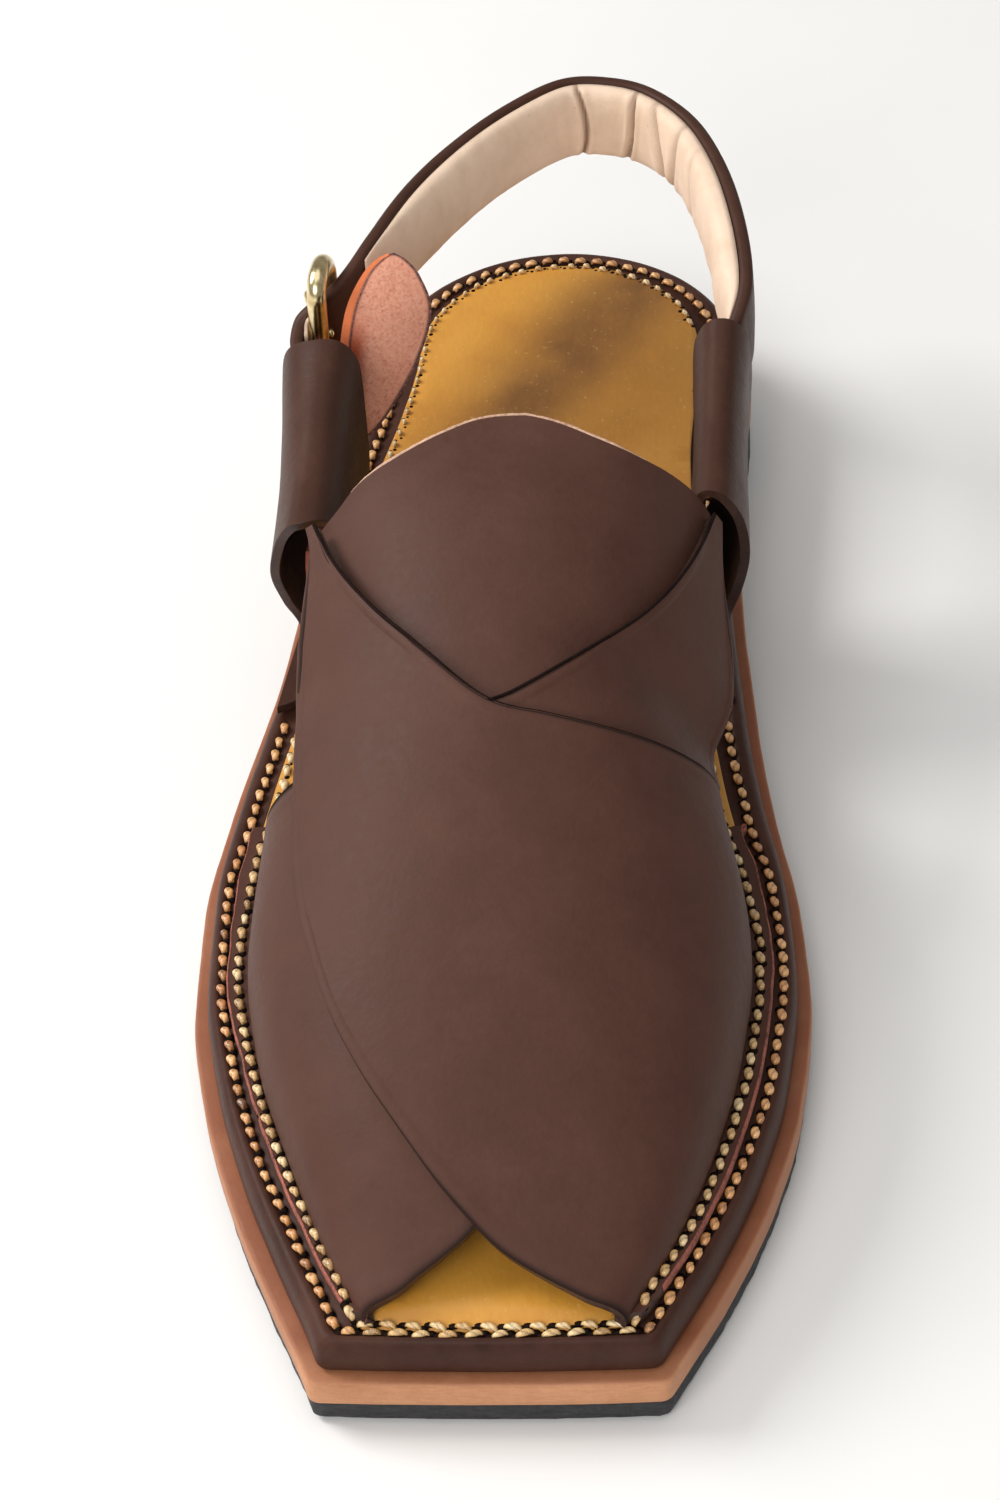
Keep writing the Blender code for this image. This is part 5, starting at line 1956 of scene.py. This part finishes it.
@dataclass
class Buckle:
    """Wire frame with a straight hinge bar toward the loop and round far corners, and its prong."""

    hinge: tuple[float, float] = (60.8, -36.1)
    far: tuple[float, float] = (72.6, -35.2)
    middle_z: float = 62.9
    height: float = 28.0
    wire: float = 3.7
    hinge_corner: float = 3.4
    far_corner: float = 7.6
    lean: float = 0.8
    loss: float = 2.8  # how much lower than the frame its centre line is taken
    prong_wire: float = 2.0
    prong_root: Triple = (-33.9, 62.4, 62.4)
    prong_tip: Triple = (-39.6, 75.2, 63.6)

    def frame_path(self) -> Array:
        """Centre line of the wire, closed.

        Returns:
            Points in millimetres.
        """
        front = np.array([self.hinge[1], self.hinge[0], self.middle_z])
        back = np.array([self.far[1], self.far[0], self.middle_z])
        half = (self.height - self.loss) / 2
        length = np.linalg.norm(back - front)
        run = (back - front) / length
        rise = np.array([self.lean / half * 0.5, 0, 1])
        near, far = self.hinge_corner, self.far_corner
        corners = ((near, near, half - near, 90, 180), (near, near, -half + near, 180, 270),
                   (far, length - far, -half + far, 270, 360), (far, length - far, half - far, 0, 90))
        points = []
        for radius, along, high, start, end in corners:
            for angle in np.radians(np.linspace(start, end, 12)):
                forward, upward = along + radius * math.cos(angle), high + radius * math.sin(angle)
                points.append(front + run * forward + rise * upward)
        points.append(points[0])
        return respace(np.array(points), 150)[:-1]

    def wire_mesh(self, name: str, path: Array, radius: Array, closed: bool) -> Mesh:
        """Sweep a round wire.

        Args:
            name: Name of the mesh.
            path: Centre line.
            radius: Wire radius at each point.
            closed: Whether the ends join.

        Returns:
            The mesh.
        """
        spokes = 24
        run = unit(np.roll(path, -1, axis=0) - np.roll(path, 1, axis=0) if closed else np.gradient(path, axis=0))
        across = unit(np.cross(run, np.array([1.0, 0.15, 0.0])))
        grid = sweep(path, across, np.cross(run, across), radius, spokes)
        if closed:
            grid = np.concatenate([grid, grid[:1]], axis=0)
            faces = grid_faces(len(grid), spokes, True)
        else:
            faces = rod_faces(len(grid), spokes)
        return make_mesh(name, grid.reshape(-1, 3), faces, WELD / 2)

    def build(self) -> list[Piece]:
        """Make the frame and the prong.

        Returns:
            The finished pieces.
        """
        path = self.frame_path()
        radius = np.full(len(path), self.wire / 2)
        brass = PaleBrass()
        frame_mesh = self.wire_mesh("brass_frame", path, radius, True)
        frame_piece = Piece("brass_frame", frame_mesh, "buckle_brass", (brass,), "buckle_frame")
        root, tip = np.array(self.prong_root), np.array(self.prong_tip)
        t = np.linspace(0, 1, 40)
        prong = root + (tip - root) * t[:, None]
        prong[:, 0] -= 0.5 * np.sin(math.pi * t)
        taper = self.prong_wire / 2 * np.minimum(1, np.sqrt(np.clip(1 - np.abs(2 * t - 1)**9, 0.02, 1)))
        prong_mesh = self.wire_mesh("brass_prong", prong, taper, False)
        prong_piece = Piece("brass_prong", prong_mesh, "buckle_brass", (brass,), "buckle_prong")
        return [frame_piece, prong_piece]


@dataclass
class BuckleGuard:
    """Suede flap standing between buckle and foot; its cut edge is bright orange."""

    sheet: float = 1.5
    tall: float = 34.0
    steps_up: int = 120
    steps_across: int = 90
    rows: Rows = (  # left Y X Z, right Y X Z, belly toward the toe
        (49.0, -31.2, 50.0, 49.6, -30.2, 43.0, 0.0), (53.0, -31.2, 52.5, 53.4, -30.1, 43.0, 0.1),
        (56.0, -31.6, 56.0, 57.6, -24.5, 47.0, 0.6), (59.5, -32.4, 60.5, 61.5, -18.3, 56.5, 1.6),
        (63.5, -31.0, 67.5, 64.5, -15.0, 66.0, 1.8), (66.5, -27.8, 73.2, 67.0, -16.8, 72.4, 1.2),
        (68.2, -25.0, 75.6, 68.6, -19.4, 75.2, 0.6), (69.0, -22.8, 76.4, 69.2, -21.6, 76.4, 0.2))

    def build(self) -> Piece:
        """Loft the flap and thicken it away from the foot.

        Returns:
            The finished piece.
        """
        table = np.array(self.rows, float)
        across = np.linspace(0, 1, self.steps_across + 1)
        risen = np.linspace(0, 1, self.steps_up + 1)
        left = even_path(table[:, [1, 0, 2]], self.steps_up)
        right = even_path(table[:, [4, 3, 5]], self.steps_up)
        belly = np.interp(risen, np.linspace(0, 1, len(table)), table[:, 6])
        grid = left[:, None, :] * (1 - across[None, :, None]) + right[:, None, :] * across[None, :, None]
        grid[..., 1] -= belly[:, None] * np.sin(math.pi * across)[None, :]
        grid = grid + 0.25 * ripple(grid, 7.0, 3.0)[..., None] * np.array([0.3, -1.0, 0.0])
        mesh = sheet_mesh("suede_guard", grid)
        face_away(mesh, (-20, 90, 60))
        u, v = risen[:, None], across[None, :]
        width = np.linalg.norm(right - left, axis=1)[:, None]
        near = np.minimum(np.minimum(v, 1 - v) * width, (1 - u) * self.tall)
        painted = 0.9 + 0.8 * ease(u, 0.98, 0.5)
        line = np.exp(-((v * width - painted - 0.2) / 0.28)**2) * ease(u, 0.3, 0.4)
        mark(mesh, "rim", np.maximum(0.95 * ease(near, 0.95, 0.3) * (v > 0.3), 0.9 * line))
        mark(mesh, "band", ease(v * width, painted + 0.1, painted - 0.1) * (u > 0.3))
        mark(mesh, "dyed", 0.95 * ease(v * width, 6.0, 3.2) * ease(u, 0.70, 0.45))
        piece = Piece("suede_guard", mesh, "guard_suede", (Suede(), RAW_ORANGE, RAW_ORANGE), "buckle_guard")
        shell(piece.body, self.sheet, Ply.INWARD, 0.2)
        return piece


# -------- studio
@dataclass
class Studio:
    """Pale paper floor, soft window light from the upper left and the camera."""

    camera_place: Triple = (0.051, -0.5342, 0.504)
    aim: Triple = (-0.0007, -0.0179, 0.03)
    lens: float = 94.8
    roll: float = 1.25
    glow: float = 0.31

    def floor(self) -> None:
        """Lay the paper."""
        bpy.ops.mesh.primitive_plane_add(size=6.0, location=(0, 0, -0.0002))
        made = bpy.context.object
        made.name = "paper_floor"
        made.data.materials.append(StudioPaper().material())

    def softbox(self, name: str, place: Triple, size: tuple[float, float], power: float, tint: Colour) -> None:
        """Hang an area light that looks at the shoe.

        Args:
            name: Name of the light.
            place: Position in metres.
            size: Width and height in metres.
            power: Watts.
            tint: Light colour.
        """
        data = bpy.data.lights.new(name, "AREA")
        data.shape = "RECTANGLE"
        data.size, data.size_y = size
        data.energy = power
        data.color = tint
        made = bpy.data.objects.new(name, data)
        made.location = place
        made.rotation_euler = (Vector((0, 0, 0.03)) - Vector(place)).to_track_quat("-Z", "Y").to_euler()
        bpy.context.scene.collection.objects.link(made)

    def lights(self) -> None:
        """Hang the lights and set the room's glow."""
        self.softbox("window_left", (-0.9, 0.28, 0.86), (0.55, 0.55), 11.2, (1.0, 0.985, 0.965))
        self.softbox("front_fill", (-0.35, -1.05, 0.8), (0.9, 0.6), 8.6, (1.0, 0.99, 0.98))
        self.softbox("top_glow", (-0.05, 0.1, 1.3), (1.2, 1.2), 3.8, (1.0, 1.0, 1.0))
        world = bpy.data.worlds.new("room")
        world.use_nodes = True
        back = world.node_tree.nodes["Background"]
        back.inputs["Color"].default_value = (1.0, 0.98, 0.955, 1.0)
        back.inputs["Strength"].default_value = self.glow
        bpy.context.scene.world = world
        bpy.context.scene.view_settings.view_transform = "Standard"

    def camera(self) -> None:
        """Aim the camera, rolled a little."""
        data = bpy.data.cameras.new("view")
        data.lens = self.lens
        data.sensor_width = 36.0
        data.clip_start = 0.01
        made = bpy.data.objects.new("view", data)
        place = Vector(self.camera_place)
        forward = (Vector(self.aim) - place).normalized()
        level = Vector((math.cos(math.radians(self.roll)), -math.sin(math.radians(self.roll)), 0.0))
        up = level.cross(forward).normalized()
        right = forward.cross(up).normalized()
        made.matrix_world = Matrix((
            (right.x, up.x, -forward.x, place.x), (right.y, up.y, -forward.y, place.y),
            (right.z, up.z, -forward.z, place.z), (0, 0, 0, 1)))
        bpy.context.scene.collection.objects.link(made)
        bpy.context.scene.camera = made


# -------- assembly
def outer_row(shape: SoleShape) -> Array:
    """Path of the outer stitch row, in the groove beside the rolled rim.

    Args:
        shape: The sole's outline.

    Returns:
        Closed path in millimetres.
    """
    ring = shape.ring(lambda y, side: shape.seam(y, side, Seam.OUTER))
    return np.column_stack([ring, 16.65 + shape.lift(ring[:, 1])])


def inner_row(shape: SoleShape) -> Array:
    """Path of the inner stitch row, through the panels' feet and the insole's border.

    Args:
        shape: The sole's outline.

    Returns:
        Closed path in millimetres.
    """
    ring = shape.ring(lambda y, side: shape.seam(y, side, Seam.INNER))
    y = ring[:, 1]
    panels = ease(y, -138.0, -136.5) * (1 - ease(y, -23.0, -21.5))
    pressed = 1.25 * ease(y - shape.toe, 8.6, 5.7)
    return np.column_stack([ring, 18.4 + shape.lift(y) + 0.9 * panels - pressed])


def sew(path: Array, side: StitchRow, front: StitchRow) -> list[Piece]:
    """Sew a row round the sole: long stitches along the toe line, short ones round the rest.

    Args:
        path: Closed path, toe line first.
        side: Stitching for the sides and heel.
        front: Stitching for the toe line.

    Returns:
        The thread and hole pieces.
    """
    around = np.vstack([path[TOE_POINTS - 1:], path[:1]])
    return side.build(around) + front.build(path[:TOE_POINTS])


def main() -> None:
    """Build the shoe piece by piece, from the sole up, and light it."""
    shape = SoleShape()
    stack = SoleStack(shape)
    pieces: list[Piece] = [stack.outsole(), stack.midsole(), stack.rim(), stack.insole()]
    pieces += sew(outer_row(shape),
                  StitchRow("outer_stitches", AMBER_THREAD, width=1.35, height=0.95, seed=5, gap=(3.0, 45.0)),
                  StitchRow("outer_stitches_toe", GOLD_THREAD, pitch=3.75, length=3.3, width=1.05, height=0.95,
                            slant=9.0, seed=6))
    pieces += sew(inner_row(shape),
                  StitchRow("inner_stitches", GOLD_THREAD, width=1.3, height=1.0, seed=11, rear_size=0.62,
                            gap=(3.0, 45.0), medial_gap=(3.0, 112.0)),
                  StitchRow("inner_stitches_toe", GOLD_THREAD, pitch=3.95, length=3.3, width=1.05, height=0.95,
                            slant=-16.0, seed=12))
    pieces += LATERAL_PANEL.build() + MEDIAL_PANEL.build()
    pieces += Tongue().build() + [LATERAL_LOOP.build(), MEDIAL_LOOP.build()]
    strap = HeelStrap()
    pieces += [strap.leather(), strap.padding(), strap.end_lining()]
    pieces += [BuckleTab().build()] + Buckle().build()
    pieces.append(BuckleGuard().build())
    for piece in pieces:
        piece.report()
    studio = Studio()
    studio.floor()
    studio.lights()
    studio.camera()


if __name__ == "__main__":
    main()
